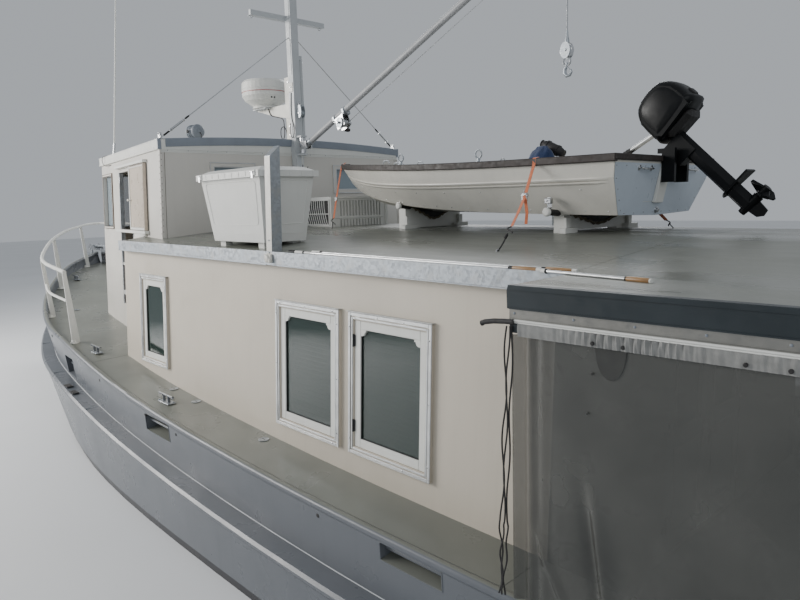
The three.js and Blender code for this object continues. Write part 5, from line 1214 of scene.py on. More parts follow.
def pilothouse_windows():
    """Gaskets and brown reveals of the pilothouse windows, with wipers on the front panes."""
    gaskets, reveal, panes = pieces(3, ON_PILOT)
    a, b = along_pilot(SIDE_WINDOW["aft"]), along_pilot(SIDE_WINDOW["fwd"])
    low, high = SIDE_WINDOW["low"], SIDE_WINDOW["high"]
    gaskets.frame((a, low), (b, high), 0.009, -0.049, -0.040, 0.001)
    reveal.frame((a - 0.0315, low - 0.0315), (b + 0.0315, high + 0.0315), 0.009, 0.0005, 0.0155, 0.001)
    reveal.frame((a - 0.004, low - 0.004), (b + 0.004, high + 0.004), 0.006, 0.0100, 0.0152, 0.0008)
    # Side panes in the pale blue glass: painted sky light
    panes.box((a + 0.0095, -0.0475, low + 0.0095), (b - 0.0095, -0.0415, high - 0.0095), 0.001)
    panes.done("side_window_panes", "sky_glass", mirror=True)
    gaskets.done("side_window_gaskets", "rubber", mirror=True)
    reveal.done("side_window_reveals", "brown", mirror=True)

    frames, black, aft_panes = pieces(3)
    x, low, high = PILOT["aft"], 3.095, 3.375
    for y0, y1 in AFT_WINDOWS:
        for grow, x0, x1 in ((0.048, x - 0.018, x - 0.0135), (0.0, x - 0.012, x - 0.0075)):
            frames.frame((y0 - grow, low - grow), (y1 + grow, high + grow), 0.012, x0, x1, 0.001,
                         athwart=True)
        black.frame((y0, low), (y1, high), 0.008, x + 0.040, x + 0.0495, 0.001, athwart=True)
        # Aft panes in the pale blue glass: painted sky light
        aft_panes.box((x + 0.041, y0 + 0.0085, low + 0.0085), (x + 0.0465, y1 - 0.0085, high - 0.0085), 0.001)
    x = PILOT["fwd"]
    for y0, y1 in FRONT_WINDOWS:
        y = (y0 + y1) / 2
        frames.frame((y0 - 0.024, 2.636), (y1 + 0.024, 3.424), 0.023, x + 0.0004, x + 0.010, 0.002,
                     athwart=True)
        frames.lathe((x + 0.0005, y, 3.445), FORWARD, (22, 0, 22, 6, 14, 18, 6, 20), 16)
        black.rod((x + 0.012, y, 3.435), (x + 0.012, y - 0.22, 3.02), 0.005, 8)
        black.box((x - 0.044, y - 0.232, 2.80), (x + 0.004, y - 0.226, 3.24), 0.002)
        black.rod((x + 0.002, y - 0.22, 3.02), (x + 0.016, y - 0.22, 3.02), 0.008, 10)
    aft_panes.done("aft_window_panes", "sky_glass")
    frames.done("pilothouse_frames", "aluminium")
    black.done("pilothouse_wipers", "rubber")


# Mast, radar, boom and what hangs from them
RADAR_CABLE = [
    (0.80, 0.030, 4.158), (0.74, 0.032, 4.075), (0.60, 0.034, 4.036), (0.47, 0.034, 3.998),
    (0.448, 0.030, 3.92), (0.455, 0.026, 3.80), (0.50, 0.022, 3.745), (0.55, 0.018, 3.80),
    (0.545, 0.014, 3.885), (0.495, 0.004, 3.905), (0.462, -0.006, 3.86), (0.450, -0.014, 3.78),
    (0.440, -0.018, 3.737),
]
MAST_CABLE = [
    (0.22, 0.0588, 4.29), (0.235, 0.0598, 4.10), (0.225, 0.0600, 3.96), (0.19, 0.0620, 3.88),
    (0.18, 0.0660, 3.80), (0.205, 0.0720, 3.74), (0.245, 0.0740, 3.78), (0.252, 0.0740, 3.86),
    (0.238, 0.0740, 3.92),
]


def mast_details():
    """Radar bracket, bolts, cables, masthead, crosstree flange, and the block on the mast's aft face."""
    x0, x1, half = MAST["x"] - MAST["half"], MAST["x"] + MAST["half"], MAST["half"]
    cream, bolts, light, block = pieces(4)
    web = [(x1 + 0.001, 3.987), (x1 + 0.001, 4.1725), (1.078, 4.1725), (1.078, 4.161), (0.930, 4.122),
           (0.700, 4.062), (0.470, 4.017)]
    gusset = [(x1 + 0.001, 3.735), (0.4285, 3.735), (0.4285, 4.498), (x1 + 0.001, 4.498)]
    for side in SIDES:
        cream.prism("y", web, side * 0.0203, side * 0.0235)
        cream.prism("y", gusset, side * 0.0063, side * 0.0095)
        cream.box((x0 + 0.012, side * (half + 0.0005), 4.300),
                  (x1 - 0.004, side * (half + 0.0065), 4.410), 0.003)
        bolt = (17, 0, 17, 3, 11, 4, 11, 12, 6, 14)
        bolts.lathe((MAST["x"], side * (half + 0.0065), 4.355), (0, side, 0), bolt, 6)
        for z in (3.79, 3.90, 4.44):
            bolts.lathe((0.35, side * 0.0095, z), (0, side, 0), (13, 0, 13, 3, 9, 4, 9, 9), 12)
        for x in (0.8, 1.0):
            bolts.lathe((x, side * 0.08, 4.161), (0, 0, -1), (12, 0, 12, 8, 6, 10, 6, 22), 6)
        bolts.link((x1 + 0.055, side * 0.50, 5.142), "yz", 0.016, 0.016, 0.004)
        bolts.lathe((x1 + 0.0385, side * 0.075, 5.182), FORWARD, (14, 0, 14, 3, 9, 4, 9, 11), 6)
    free_cord("radar_cable", RADAR_CABLE, 0.0055)
    free_cord("mast_cable", MAST_CABLE, 0.0048)
    light.box((x1 + 0.0352, -0.538, 5.151), (x1 + 0.074, 0.538, 5.156), 0.001)
    light.box((x1 + 0.0352, -0.538, 5.156), (x1 + 0.0385, 0.538, 5.209), 0.001)
    light.box((x0 - 0.004, -0.075, 3.562), (x0 - 0.0006, 0.075, 3.70), 0.001)
    light.tube([(x0 + 0.02, 0.0545, z) for z in (4.50, 5.6, 6.58)], 0.0035, 6)
    head = (62, 0, 62, 12, 30, 16, 30, 50, 42, 54, 42, 140, 30, 150, 5, 152)
    light.lathe((MAST["x"], 0, 6.6005), UP, head, 20)
    for y0, y1 in ((-0.046, -0.038), (0.012, 0.020)):
        block.prism("y", oval(x0 - 0.048, 4.056, 0.040, 0.080), y0, y1)
    wheel = (34, 0, 34, 12, 26, 18, 26, 31, 34, 37, 34, 49)
    block.lathe((x0 - 0.048, -0.0375, 4.035), PORT, wheel, 24)
    bolts.rod((x0 - 0.048, -0.056, 4.035), (x0 - 0.048, 0.030, 4.035), 0.007, 10)
    strop = [(0.001, 4.150), (0.02, 4.156), (0.045, 4.150), (0.048, 4.122)]
    bolts.tube([(x0 - back, -0.013, z) for back, z in strop], 0.006, 8)
    bolts.box((x0 - 0.008, -0.035, 4.120), (x0 - 0.0006, 0.009, 4.180), 0.002)
    block.done("mast_block", "galvanised")
    cream.done("radar_bracket_plates", "cream", "mast_paint")
    bolts.done("mast_bolts", "stainless")
    light.done("mast_fittings", "mast")


def chain_and_hook():
    """Short chain and dark hook under the gooseneck."""
    links, hook = pieces(2)
    x, y = 0.092, 0.024
    for k in range(5):
        links.link((x, y, 3.512 - 0.026 * k), "xz" if k % 2 else "yz", 0.0105, 0.018, 0.0036, 14, 6)
    links.tube([(0.130, y, 3.540), (0.110, y, 3.545), (x, y, 3.538), (0.091, y, 3.524)], 0.005, 8)
    bend = [(0, 0, 3.402), (0, 0, 3.376), (0.004, 0.012, 3.356), (0.008, 0.036, 3.346), (0.012, 0.060, 3.356),
            (0.014, 0.070, 3.382)]
    hook.tube([(x - back, y - across, z) for back, across, z in bend],
              [0.006, 0.0065, 0.0075, 0.007, 0.006, 0.003], 10)
    links.done("tackle_chain", "plastic", "stainless")
    hook.done("tackle_hook", "rubber", "stainless")


def radome_details():
    """Red line, seam and foot ring round the radar, and plugs in its lower edge."""
    band, seam, dark = pieces(3)
    at = Vector((0.9, 0, 4.1754))
    band.lathe(at, UP, (301.5, 196, 305.5, 197, 305.5, 203, 302, 204), 64)
    seam.lathe(at, UP, (303.5, 236, 306.5, 237.5, 306.5, 242.5, 304, 244), 64)
    seam.lathe(at, UP, (150, 1, 172, 1, 172, 14, 166, 22, 155, 22), 48)
    for degrees in (164, 172, 40, 290):
        out = Vector((math.cos(math.radians(degrees)), math.sin(math.radians(degrees)), 0))
        spot = at + out * 0.277 + Vector((0, 0, 0.115))
        dark.lathe(spot, out - Vector((0, 0, 0.65)), (11, -12, 11, 3, 5, 4), 14)
    band.done("radome_line", "red", smooth=50)
    seam.done("radome_seam", "plastic", smooth=50)
    dark.done("radome_plugs", "rubber")


WINCH = {"x": -0.75, "z": -0.1104}


def boom_details():
    """Collars, winch drum with its wire, ratchet, crank grip and the sheave at the end."""
    collars, drum, grip, wire = pieces(4, ON_BOOM)
    x, z = WINCH["x"], WINCH["z"]
    for along in (-0.655, -0.845):
        collars.lathe((along - 0.02, 0, 0), FORWARD, (35.5, 0, 41, 2, 41, 38, 35.5, 40), 28)
        for y in (-0.043, 0.043):
            collars.box((along - 0.016, y - 0.007, -0.052), (along + 0.016, y + 0.007, 0.014), 0.002)
            collars.lathe((along, y, 0.014), UP, (8.5, 0, 8.5, 8, 4, 12), 6)
    for along in (-0.075, -3.98):
        collars.lathe((along - 0.04, 0, 0), FORWARD, (35.5, 0, 40, 3, 40, 50, 35.5, 53), 28)
    collars.lathe((-4.0, -0.0150, -0.080), PORT, (34, 0, 34, 6, 26, 10, 26, 20, 34, 24, 34, 30), 24)
    for k in range(9):
        wire.link((x, -0.033 + 0.0082 * k, z), "xz", 0.0455, 0.0455, 0.0042, 24, 6)
    wire.tube([(-0.755, 0.01, z - 0.0460), (-0.80, 0.008, z - 0.045), (-2.2, 0.004, -0.137),
               (-3.96, 0, -0.112), (-4.0, 0, -0.110)], 0.0032, 6)
    for y in (-0.062, 0.062):
        drum.lathe((x, y, z), PORT, (50, -4, 58, -3, 58, 3, 50, 4), 28)
    teeth = []
    for k, turn in enumerate(turns(48)):
        radius = 0.052 if k % 2 else 0.044
        teeth.append((x + radius * math.cos(turn), z + radius * math.sin(turn)))
    drum.prism("y", teeth, 0.052, 0.0575)
    drum.box((-0.705, 0.0512, z + 0.038), (-0.66, 0.0565, z + 0.052), 0.002)
    drum.lathe((x, -0.095, z), (0, -1, 0), (20, 0, 20, 12, 12, 16), 6)
    handle = (14, -4, 20, 0, 23.5, 20, 21.5, 55, 17.5, 78, 14, 84)
    grip.lathe((x + 0.148, -0.196, z), PORT, handle, 20)
    drum.done("winch_drum", "galvanised", body="boom")
    grip.done("winch_grip", "brown_rubber", "wood", body="boom")
    collars.done("boom_collars", "galvanised", body="boom")
    wire.done("winch_wire", "stainless", body="boom")


def hoist_details():
    """Cheeks, strop and throat of the lifting hook."""
    plates, hook = pieces(2)
    end = ON_BOOM @ Vector((-4.0, 0, -0.08))
    x, z = end.x, end.z - 1.08
    for y in (-0.031, 0.0225):
        plates.prism("y", oval(x, z + 0.060, 0.046, 0.066), y, y + 0.0085)
    plates.rod((x, -0.038, z + 0.06), (x, 0.038, z + 0.06), 0.012, 12)
    plates.lathe((x, 0, z + 0.118), UP, (20, 0, 20, 20, 12, 55, 8.5, 100), 18)
    bend = [(0, 0.035, 0.011), (0, 0.062, 0.012), (0.018, 0.088, 0.015), (0.020, 0.118, 0.016),
            (0, 0.142, 0.015), (-0.030, 0.140, 0.012), (-0.046, 0.116, 0.009), (-0.042, 0.094, 0.004)]
    hook.tube([(x + dx, 0, z - drop) for dx, drop, _ in bend], [radius for _, _, radius in bend], 12)
    hook.tube([(x + 0.004, 0.012, z - 0.066), (x - 0.022, 0.012, z - 0.082),
               (x - 0.038, 0.010, z - 0.098)], 0.004, 8)
    plates.done("hoist_cheeks", "galvanised", body="hoist_hook")
    hook.done("hoist_hook_throat", "galvanised", body="hoist_hook")


def stay_details():
    """Turnbuckles with their forks and pins, dark boots and eye plates."""
    steel, boots = pieces(2)
    foot, head = Vector((0.330, 1.735, 3.6724)), Vector((0.223, 0.043, 4.950))
    toward = (head - foot).normalized()
    for start, end in ((0.055, 0.140), (0.36, 0.44)):
        steel.rod(foot + toward * start, foot + toward * end, 0.0075, 12)
    for start in (0.150, 0.335):
        steel.lathe(foot + toward * start, toward, (14.5, 0, 19, 3, 19, 16, 14.5, 19), 6)
    boots.lathe(foot + toward * 0.372, toward, (8, 0, 10.5, 6, 10.5, 45, 6.5, 70), 16)
    boots.lathe(foot + toward * 0.052, toward, (8.5, 0, 10.5, 4, 10.5, 80, 8.5, 84), 16)
    for dx in (-0.016, 0.016):
        steel.box(foot + Vector((dx - 0.0025, -0.012, -0.002)), foot + Vector((dx + 0.0025, 0.012, 0.060)))
    steel.rod(foot + Vector((-0.030, 0, 0.026)), foot + Vector((0.030, 0, 0.026)), 0.0065, 12)
    steel.box((0.272, 1.694, 3.6605), (0.392, 1.776, 3.6665), 0.002)
    for dx in (-0.045, 0.045):
        steel.screw((0.33 + dx, 1.735, 3.6665), UP, 8)
    steel.done("stay_turnbuckles", "stainless", mirror=True)
    boots.done("stay_boots", "rubber", mirror=True)


def searchlight_details():
    """Rim, back, fins, yoke, lens and knobs of the searchlight, and its cable."""
    steel, lens, black = pieces(3)
    at = Vector((1.25, 0.855, 3.8724))
    steel.lathe(at + Vector((0.062, 0, 0)), FORWARD, (86, 0, 91, 4, 91, 26, 80, 29, 78, 24), 40)
    back = (86, 0, 88, 4, 88, 12, 70, 34, 30, 45, 28, 56, 10, 58)
    steel.lathe(at - Vector((0.070, 0, 0)), AFT, back, 40)
    lens.lathe(at + Vector((0.0855, 0, 0)), FORWARD, (78, 0, 60, 4, 30, 8, 5, 9), 40)
    yoke = [at + Vector((0, -0.096, 0))]
    for angle in (math.pi * (1 + k / 16) for k in range(1, 16)):
        yoke.append(at + Vector((0, 0.096 * math.cos(angle), 0.118 * math.sin(angle))))
    steel.tube(yoke + [at + Vector((0, 0.096, 0))], 0.0085, 10)
    for side in SIDES:
        knob = (12, 0, 22, 4, 22, 18, 12, 22)
        black.lathe(at + Vector((0, side * 0.0965, 0)), (0, side, 0), knob, 12)
    for k in range(5):
        steel.lathe(at + Vector((-0.045 + 0.018 * k, 0, 0)), FORWARD, (84.5, -2, 86.5, 0, 84.5, 2), 40)
    steel.lathe((1.25, 0.855, 3.705), UP, (62, 0, 62, 8, 46, 18, 44, 20), 28)
    cable = [(-0.12, 0, -0.012), (-0.16, 0.0, -0.05), (-0.15, 0.004, -0.12), (-0.10, 0.006, -0.150),
             (-0.055, 0.004, -0.158)]
    black.tube([at + Vector(step) for step in cable], 0.006, 8)
    steel.done("searchlight_shell", "slate", smooth=45)
    lens.done("searchlight_lens", "clear_glass")
    black.done("searchlight_knobs", "rubber")


DECK_BOX = {"x": -1.652, "y": 1.762, "low": 2.598, "high": 3.165}


def box_side_at(athwart, sign, share, z, out):
    """A place on the deck box's flared side: athwart for its ends, else for its long sides."""
    t = (z - DECK_BOX["low"]) / (DECK_BOX["high"] - DECK_BOX["low"])
    half_x, half_y = 0.428 + 0.077 * t, 0.210 + 0.061 * t
    if athwart:
        return DECK_BOX["x"] + sign * (half_x + out), DECK_BOX["y"] + share * half_y, z
    return DECK_BOX["x"] + share * half_x, DECK_BOX["y"] + sign * (half_y + out), z


def deck_box_details():
    """Raised panel lines on each side, ticks along the lid's rim, and the hasps."""
    lines, ticks, hasp = pieces(3)
    box_x, box_y = DECK_BOX["x"], DECK_BOX["y"]
    for athwart, edge in ((False, 0.78), (True, 0.70)):
        for sign in (1, -1):
            ring = []
            for turn, u_side, z in ((0, 1, 3.084), (90, -1, 3.084), (180, -1, 2.776), (270, 1, 2.776)):
                for angle in (math.radians(turn + 22.5 * k) for k in range(5)):
                    u = u_side * edge + 0.08 * math.cos(angle)
                    ring.append(box_side_at(athwart, sign, u, z + 0.028 * math.sin(angle), 0.0003))
            lines.tube(ring, 0.0034, 6, closed=True)
            lines.tube([box_side_at(athwart, sign, s, 2.668, -0.0002) for s in (-0.93, 0, 0.93)], 0.0028, 6)
    for x in np.linspace(box_x - 0.46, box_x + 0.46, 9):
        ticks.box((x - 0.0025, box_y + 0.3012, 3.148), (x + 0.0025, box_y + 0.3035, 3.188), 0.001)
    for y in np.linspace(box_y - 0.24, box_y + 0.24, 5):
        ticks.box((box_x - 0.5385, y - 0.0025, 3.148), (box_x - 0.5362, y + 0.0025, 3.188), 0.001)
    ticks.box((box_x - 0.42, box_y - 0.19, 3.2265), (box_x + 0.42, box_y + 0.19, 3.2305), 0.003)
    for x in (-2.115, -1.20):
        ticks.box((x - 0.035, 2.0632, 3.150), (x + 0.035, 2.072, 3.196), 0.003)
        hasp.box((x - 0.014, 2.0722, 3.128), (x + 0.014, 2.0775, 3.180), 0.002)
        hasp.rod((x - 0.018, 2.0775, 3.180), (x + 0.018, 2.0775, 3.180), 0.005, 10)
    lines.done("deck_box_panels", "plastic")
    ticks.done("deck_box_lid_rim", "plastic", body="deck_box_lid")
    hasp.done("deck_box_hasps", "stainless", body="deck_box_lid")


VENT = {"aft": -0.92, "port": 0.38}


def vent_details():
    """Dark backing behind the vent unit's slots, curved louvres on its port side, and a rounded rim."""
    dark, blades, rim = pieces(3)
    x, y = VENT["aft"], VENT["port"]
    for z0, z1 in ((2.64, 2.73), (2.765, 2.94)):
        for slot_y in (-0.355 + 0.045 * i for i in range(14)):
            dark.box((x + 0.0235, slot_y + 0.0006, z0 + 0.0006), (x + 0.0295, slot_y + 0.0214, z1 - 0.0006))
            blades.box((x + 0.004, slot_y + 0.008, z0 + 0.0008),
                       (x + 0.018, slot_y + 0.012, z1 - 0.0008), 0.001)
    dark.box((-0.885, y + 0.0005, 2.675), (-0.305, y + 0.003, 2.945), 0.001)
    for k in range(15):
        arc = []
        for t in np.linspace(0, 1, 9):
            bow = 0.075 * math.sin(math.pi * (0.10 + 0.45 * t))
            arc.append((min(-0.875 + 0.040 * k + bow, -0.31), y + 0.0065, 2.678 + 0.264 * t))
        blades.tube(arc, 0.0052, 6)
    rim.frame((-0.897, 2.662), (-0.292, 2.958), 0.016, y + 0.0005, y + 0.012, 0.003)
    rim.box((-0.897, y + 0.0005, 2.790), (-0.292, y + 0.011, 2.800), 0.002)
    for edge_y in (-0.43, 0.345):
        rim.tube([(x - 0.003, edge_y, z) for z in (2.60, 2.80, 2.968)], 0.006, 8)
    rim.tube([(x - 0.003, edge_y, 2.968) for edge_y in (-0.43, 0, 0.345)], 0.006, 8)
    rim.box((x - 0.006, -0.42, 2.742), (x - 0.0006, 0.335, 2.753), 0.002)
    dark.done("vent_backing", "rubber")
    blades.done("vent_louvres", "plastic")
    rim.done("vent_rim", "plastic")


def post_details():
    """Pale face, cap and foot casting of the side posts, and the folded lip of the deck's edge. The pale face
    is painted light: a thin plate that gives each post's outboard face the brightness of the lit side.
    """
    white, lip = pieces(2)
    # Painted light: a thin pale plate on the outboard face stands for its lit brightness; the rest of the
    # post keeps the galvanised look
    white.hull([(x, 2.0597 - 0.030 * t + out, 2.462 + 0.830 * t)
                for x in (-2.3245, -2.2485) for t in (0, 1) for out in (0, 0.0022)])
    white.box((-2.336, 2.0600, 2.452), (-2.240, 2.082, 2.520), 0.006)
    white.lathe((-2.288, 2.082, 2.486), PORT, (30, 0, 30, 6, 24, 13, 8, 16), 24)
    white.lathe((-2.318, 2.075, 2.470), PORT, (20, 0, 20, 12, 12, 18), 16)
    for z in (2.53, 2.63):
        lip.screw((-2.288, 2.0612, z), PORT, 7)
    section = [(2.0585, -0.106), (2.0665, -0.106), (2.0665, -0.100), (2.0585, -0.098)]
    for ends in ((0.948, -2.236), (-2.340, -5.047)):
        lip.loft([[(x, y, roof_deck_z(x, 2.045) + z) for y, z in section] for x in ends])
    white.done("side_post_cap_and_lit_face", "cream", "white_paint", mirror=True)
    lip.done("deck_edge_lip", "galvanised", mirror=True)


def chock_details():
    """Foam along the chocks' hollow tops, end feet, dark pad bars, the side rollers, and a painted shadow: a
    dark plate on each aft face above the foam, where the gap under the tender is in shade.
    """
    dark, foam, white, steel = pieces(4)
    for face, half, top, low in ((-4.015, 0.5, 2.800, 2.690), (-2.145, 0.4, 2.880, 2.735)):
        hollow = half - 0.08
        # Painted shadow: a dark plate on the aft face above the foam V, for the shaded gap under the tender
        dark.prism("x", [(-half + 0.01, top - 0.006), (half - 0.01, top - 0.006), (hollow, top - 0.022),
                         (0.055, low), (-0.055, low), (-hollow, top - 0.022)], face - 0.0035, face - 0.0006)
        path = []
        for k in range(33):
            share = -1 + k / 16
            wobble = 0.006 * math.sin(k * 1.9) + 0.004 * math.sin(k * 4.3)
            drop = max(0.0, abs(share) - 0.12) / 0.88
            path.append((face - 0.007, share * hollow, low + (top - 0.024 - low) * drop + wobble))
        foam.tube(path, [0.0105 + 0.003 * math.sin(k * 2.7) for k in range(33)], 8)
        dark.box((face - 0.012, -half - 0.02, top - 0.004), (face + 0.01, half + 0.02, top + 0.010), 0.004)
        for side in SIDES:
            y = side * (half - 0.02)
            z = roof_deck_z(face, y)
            white.box((face - 0.060, y - 0.085, z - 0.002), (face - 0.001, y + 0.085, z + 0.040), 0.004)
            white.box((face - 0.030, y - 0.030, z + 0.040), (face - 0.001, y + 0.030, z + 0.120), 0.003)
    for x, y, z in ((-4.03, 0.757, 2.800), (-2.148, 0.500, 2.868)):
        for side in SIDES:
            dark.rod((x, side * (y - 0.02), z), (x, side * (y - 0.16), z - 0.012), 0.024, 18)
            roller = (24, 0, 33, 4, 33, 22, 24, 30, 10, 31)
            white.lathe((x, side * (y - 0.022), z), (0, side, 0), roller, 22)
            for half, in0, in1, z0, z1, chamfer in ((0.020, 0.006, 0.046, 0.030, 0.036, 0.002),
                                                    (0.020, 0.040, 0.046, 0.020, 0.110, 0.002),
                                                    (0.026, 0.012, 0.052, 0.062, 0.104, 0.004)):
                steel.box((x - half, side * (y - in0), z + z0), (x + half, side * (y - in1), z + z1), chamfer)
            steel.screw((x, side * (y - 0.008), z + 0.083), (0, side, 0), 8)
    dark.done("chock_pads_and_painted_shadow", "rubber")
    foam.done("chock_foam", "foam")
    white.done("chock_feet", "plastic", "white_paint")
    steel.done("chock_roller_brackets", "stainless")


BAG_LEVELS = [
    # height, radius, how much narrower it is athwart
    (2.830, 0.02, 0.4), (2.832, 0.115, 1.0), (2.86, 0.128, 1.0), (2.95, 0.136, 0.96), (3.06, 0.128, 0.98),
    (3.15, 0.134, 0.95), (3.22, 0.118, 0.90), (3.265, 0.098, 0.80), (3.295, 0.082, 0.62),
    (3.312, 0.060, 0.45), (3.330, 0.050, 0.34), (3.334, 0.008, 0.3),
]


def kit_in_tender():
    """Blue kit bag on the tender's floor with its slack top folded over, a rolled mat, and the oarlocks."""
    bag, roll, fittings = pieces(3)
    rings = []
    for z, radius, squeeze in BAG_LEVELS:
        lean = 0.05 * max(0, z - 3.1)
        ring = []
        for angle in turns(40):
            fold = radius * (1 + 0.085 * math.sin(5 * angle + z * 21) + 0.06 * math.sin(9 * angle - z * 33))
            y = 0.20 + squeeze * fold * math.sin(angle) + 0.4 * lean
            ring.append((-3.600 - lean + fold * math.cos(angle), y, z))
        rings.append(ring)
    bag.loft(rings)
    start, end = Vector((-3.535, 0.100, 3.366)), Vector((-3.755, 0.105, 3.262))
    radii = [0.020, 0.034, 0.041, 0.044, 0.043, 0.044, 0.041, 0.036, 0.022]
    roll.tube([start.lerp(end, k / 8) for k in range(9)], radii, 24)
    for shares, ring, sides in (((0.28, 0.72), (43, -10, 47.5, -8, 47.5, 8, 43, 10), 24),
                                ((0.02, 0.98), (12, -6, 30, -4, 30, 4, 12, 6), 20)):
        for share in shares:
            roll.lathe(start.lerp(end, share), end - start, ring, sides)
    for x, y, z in ((-1.718, 0.25, 3.330), (-1.990, 0.35, 3.290)):
        for side in SIDES:
            handle = [(-0.05, -0.03), (-0.03, 0), (0.03, 0), (0.05, -0.03)]
            fittings.tube([(x + dx, side * y, z + dz) for dx, dz in handle], 0.006, 8)
    for u in (1.2, 2.3):
        at = tender_at(u, between(TENDER_ROWS, u)[7])
        for side in SIDES:
            spot = Vector((at.x, side * (at.y - 0.012), at.z + 0.004))
            fittings.lathe(spot, UP, (26, 0, 26, 6, 14, 10, 14, 30, 9, 34), 16)
            fittings.tube([spot + Vector((0.032 * math.sin(a), 0, 0.062 - 0.032 * math.cos(a)))
                           for a in np.linspace(0.35, 5.9, 14)], 0.0065, 8)
    bag.done("kit_bag", "bag", smooth=75)
    roll.done("rolled_mat", "rubber")
    fittings.done("tender_oarlocks", "galvanised")


# Hull: smooth skins over the plating, rails, beads, pockets and deck fittings
PLATES = [between(HULL_ROWS, i / 4) for i in range(4 * len(HULL_ROWS) - 3)]
POCKETS = [(1.74, 0.862, 1.135, 0.36), (-0.945, 0.765, 0.962, 0.53), (-4.31, 0.74, 0.89, 0.50)]
SKIN = 0.0014
SKIN_ENDS = (-7.68, 6.9)


def plate_at(x):
    """The hull's row at x, straight between the plating's own sections."""
    for start, end in zip(PLATES, PLATES[1:]):
        if start[0] <= x <= end[0]:
            return start + (end - start) * (x - start[0]) / (end[0] - start[0])
    return PLATES[-1]


def side_foot(x):
    row = plate_at(x)
    return row[4], row[6] + 0.006


def side_head(x):
    row = plate_at(x)
    return row[1] + 0.0145, row[2] - 0.0526


def ledge_edge(x, drop=0.0):
    row = plate_at(x)
    return row[5] - 0.020, row[6] - drop


def side_y(x, z):
    """Half-breadth of the topsides between the ledge and the sheer."""
    (foot, foot_z), (head, head_z) = side_foot(x), side_head(x)
    return foot + (head - foot) * (z - foot_z) / (head_z - foot_z)


def deck_top(x, y):
    """Height of the side deck at x and y, with its camber."""
    _, sheer, sheer_z, bulwark, *_ = plate_at(x)
    crown = 0.060 * (sheer / 2.5) ** 2
    base, edge, middle = sheer_z - bulwark, sheer - 0.044, sheer * 0.5
    if y > middle:
        return base + 0.75 * crown * (edge - y) / (edge - middle)
    return base + crown * (0.75 + 0.25 * (middle - y) / middle)


def skin_strip(piece, start, end, low_end, high_end, normal):
    """A thin skin between two lines along the hull, each given as a function of x."""
    stops = [start] + [row[0] for row in PLATES if start + 0.01 < row[0] < end - 0.01] + [end]
    rings = []
    for x in stops:
        low, high = low_end(x), high_end(x)
        section = [(low, -0.001), (low, SKIN), (high, SKIN), (high, -0.001)]
        rings.append([(x, y + out * normal[0], z + out * normal[1]) for (y, z), out in section])
    piece.loft(rings)


def hull_skins():
    """Smooth paint over the topsides, the ledge, the side below it and the side decks."""
    topsides, ledge, low_side, deck = pieces(4)
    outward, upward = (1, 0), (0, 1)
    edges = [SKIN_ENDS[0]]
    for x, low, high, length in sorted(POCKETS):
        start, end = x - length / 2 - 0.001, x + length / 2 + 0.001
        edges += [start, end]
        sill, lintel = low + 0.0285, high + 0.002
        skin_strip(topsides, start, end, side_foot, lambda x: (side_y(x, sill), sill), outward)
        skin_strip(topsides, start, end, lambda x: (side_y(x, lintel), lintel), side_head, outward)
    edges.append(SKIN_ENDS[1])
    for start, end in zip(edges[::2], edges[1::2]):
        skin_strip(topsides, start, end, side_foot, side_head, outward)
    skin_strip(ledge, *SKIN_ENDS, ledge_edge, side_foot, upward)
    skin_strip(low_side, SKIN_ENDS[0], 4.9, lambda x: tuple(plate_at(x)[7:9]),
               lambda x: ledge_edge(x, 0.066), outward)
    for start, end, inner in ((-4.92, 0.955, lambda x: 2.035),
                              (0.975, 3.38, lambda x: 1.845 - 0.1502 * (x - 0.29))):
        skin_strip(deck, start, end, lambda x: (plate_at(x)[1] - 0.045, deck_top(x, plate_at(x)[1] - 0.045)),
                   lambda x: (inner(x), deck_top(x, inner(x))), upward)
    for name, piece in (("topside", topsides), ("ledge", ledge), ("low_side", low_side), ("side_deck", deck)):
        piece.done(name + "_skin", "hull", mirror=True, smooth=30)


def boat_deck_skin():
    """Deck paint over the boat deck, forward of the cockpit and over it."""
    skin = Piece()
    for start, end, half_at in ((-5.058, 0.272, lambda x: 2.043),
                                (-7.735, -5.062, lambda x: cockpit_half(x) - 0.044)):
        rings = []
        for x in np.linspace(start, end, 5):
            half = half_at(x)
            across = sorted({round(y, 5) for y in np.linspace(-2.043, 2.043, 49)} | {-half, half})
            top = [(x, y, roof_deck_z(x, y) + SKIN) for y in across]
            rings.append(top + [(x, y, z - 0.0026) for _, y, z in reversed(top)])
        skin.loft(rings)
    skin.done("boat_deck_skin", "deck", smooth=20)


def hull_rails():
    """Smooth pipe along the sheer, rounded nosing, and a weld bead along the ledge whose pale paint is a
    painted highlight, the bright line along the ledge's inner edge.
    """
    pipe, nosing, bead = pieces(3)
    steps = [7.93 * k / 96 for k in range(97)]
    rows = [between(HULL_ROWS, u) for u in steps]
    # The bead runs on to the stem, a little inside the ledge
    inner = [(row[4],) for row in HULL_ROWS[:-1]] + [(0.03,)]
    pipe.tube([(row[0], row[1] - 0.010, row[2] - 0.032) for row in rows], 0.0328, 16)
    nosing.tube([(row[0], row[5] - 0.011, row[6] - 0.032) for row in rows], 0.0125, 12)
    line = [(row[0], between(inner, u)[0] + 0.003, row[6] + 0.007) for row, u in zip(rows, steps)]
    bead.tube(line, 0.0045, 8)
    pipe.done("sheer_pipe", "hull", mirror=True, smooth=60)
    nosing.done("ledge_nosing", "hull", mirror=True, smooth=60)
    # Pale paint on the bead: a painted highlight along the ledge's inner edge
    bead.done("ledge_bead_painted_highlight", "mast", "hull_paint", mirror=True, smooth=60)


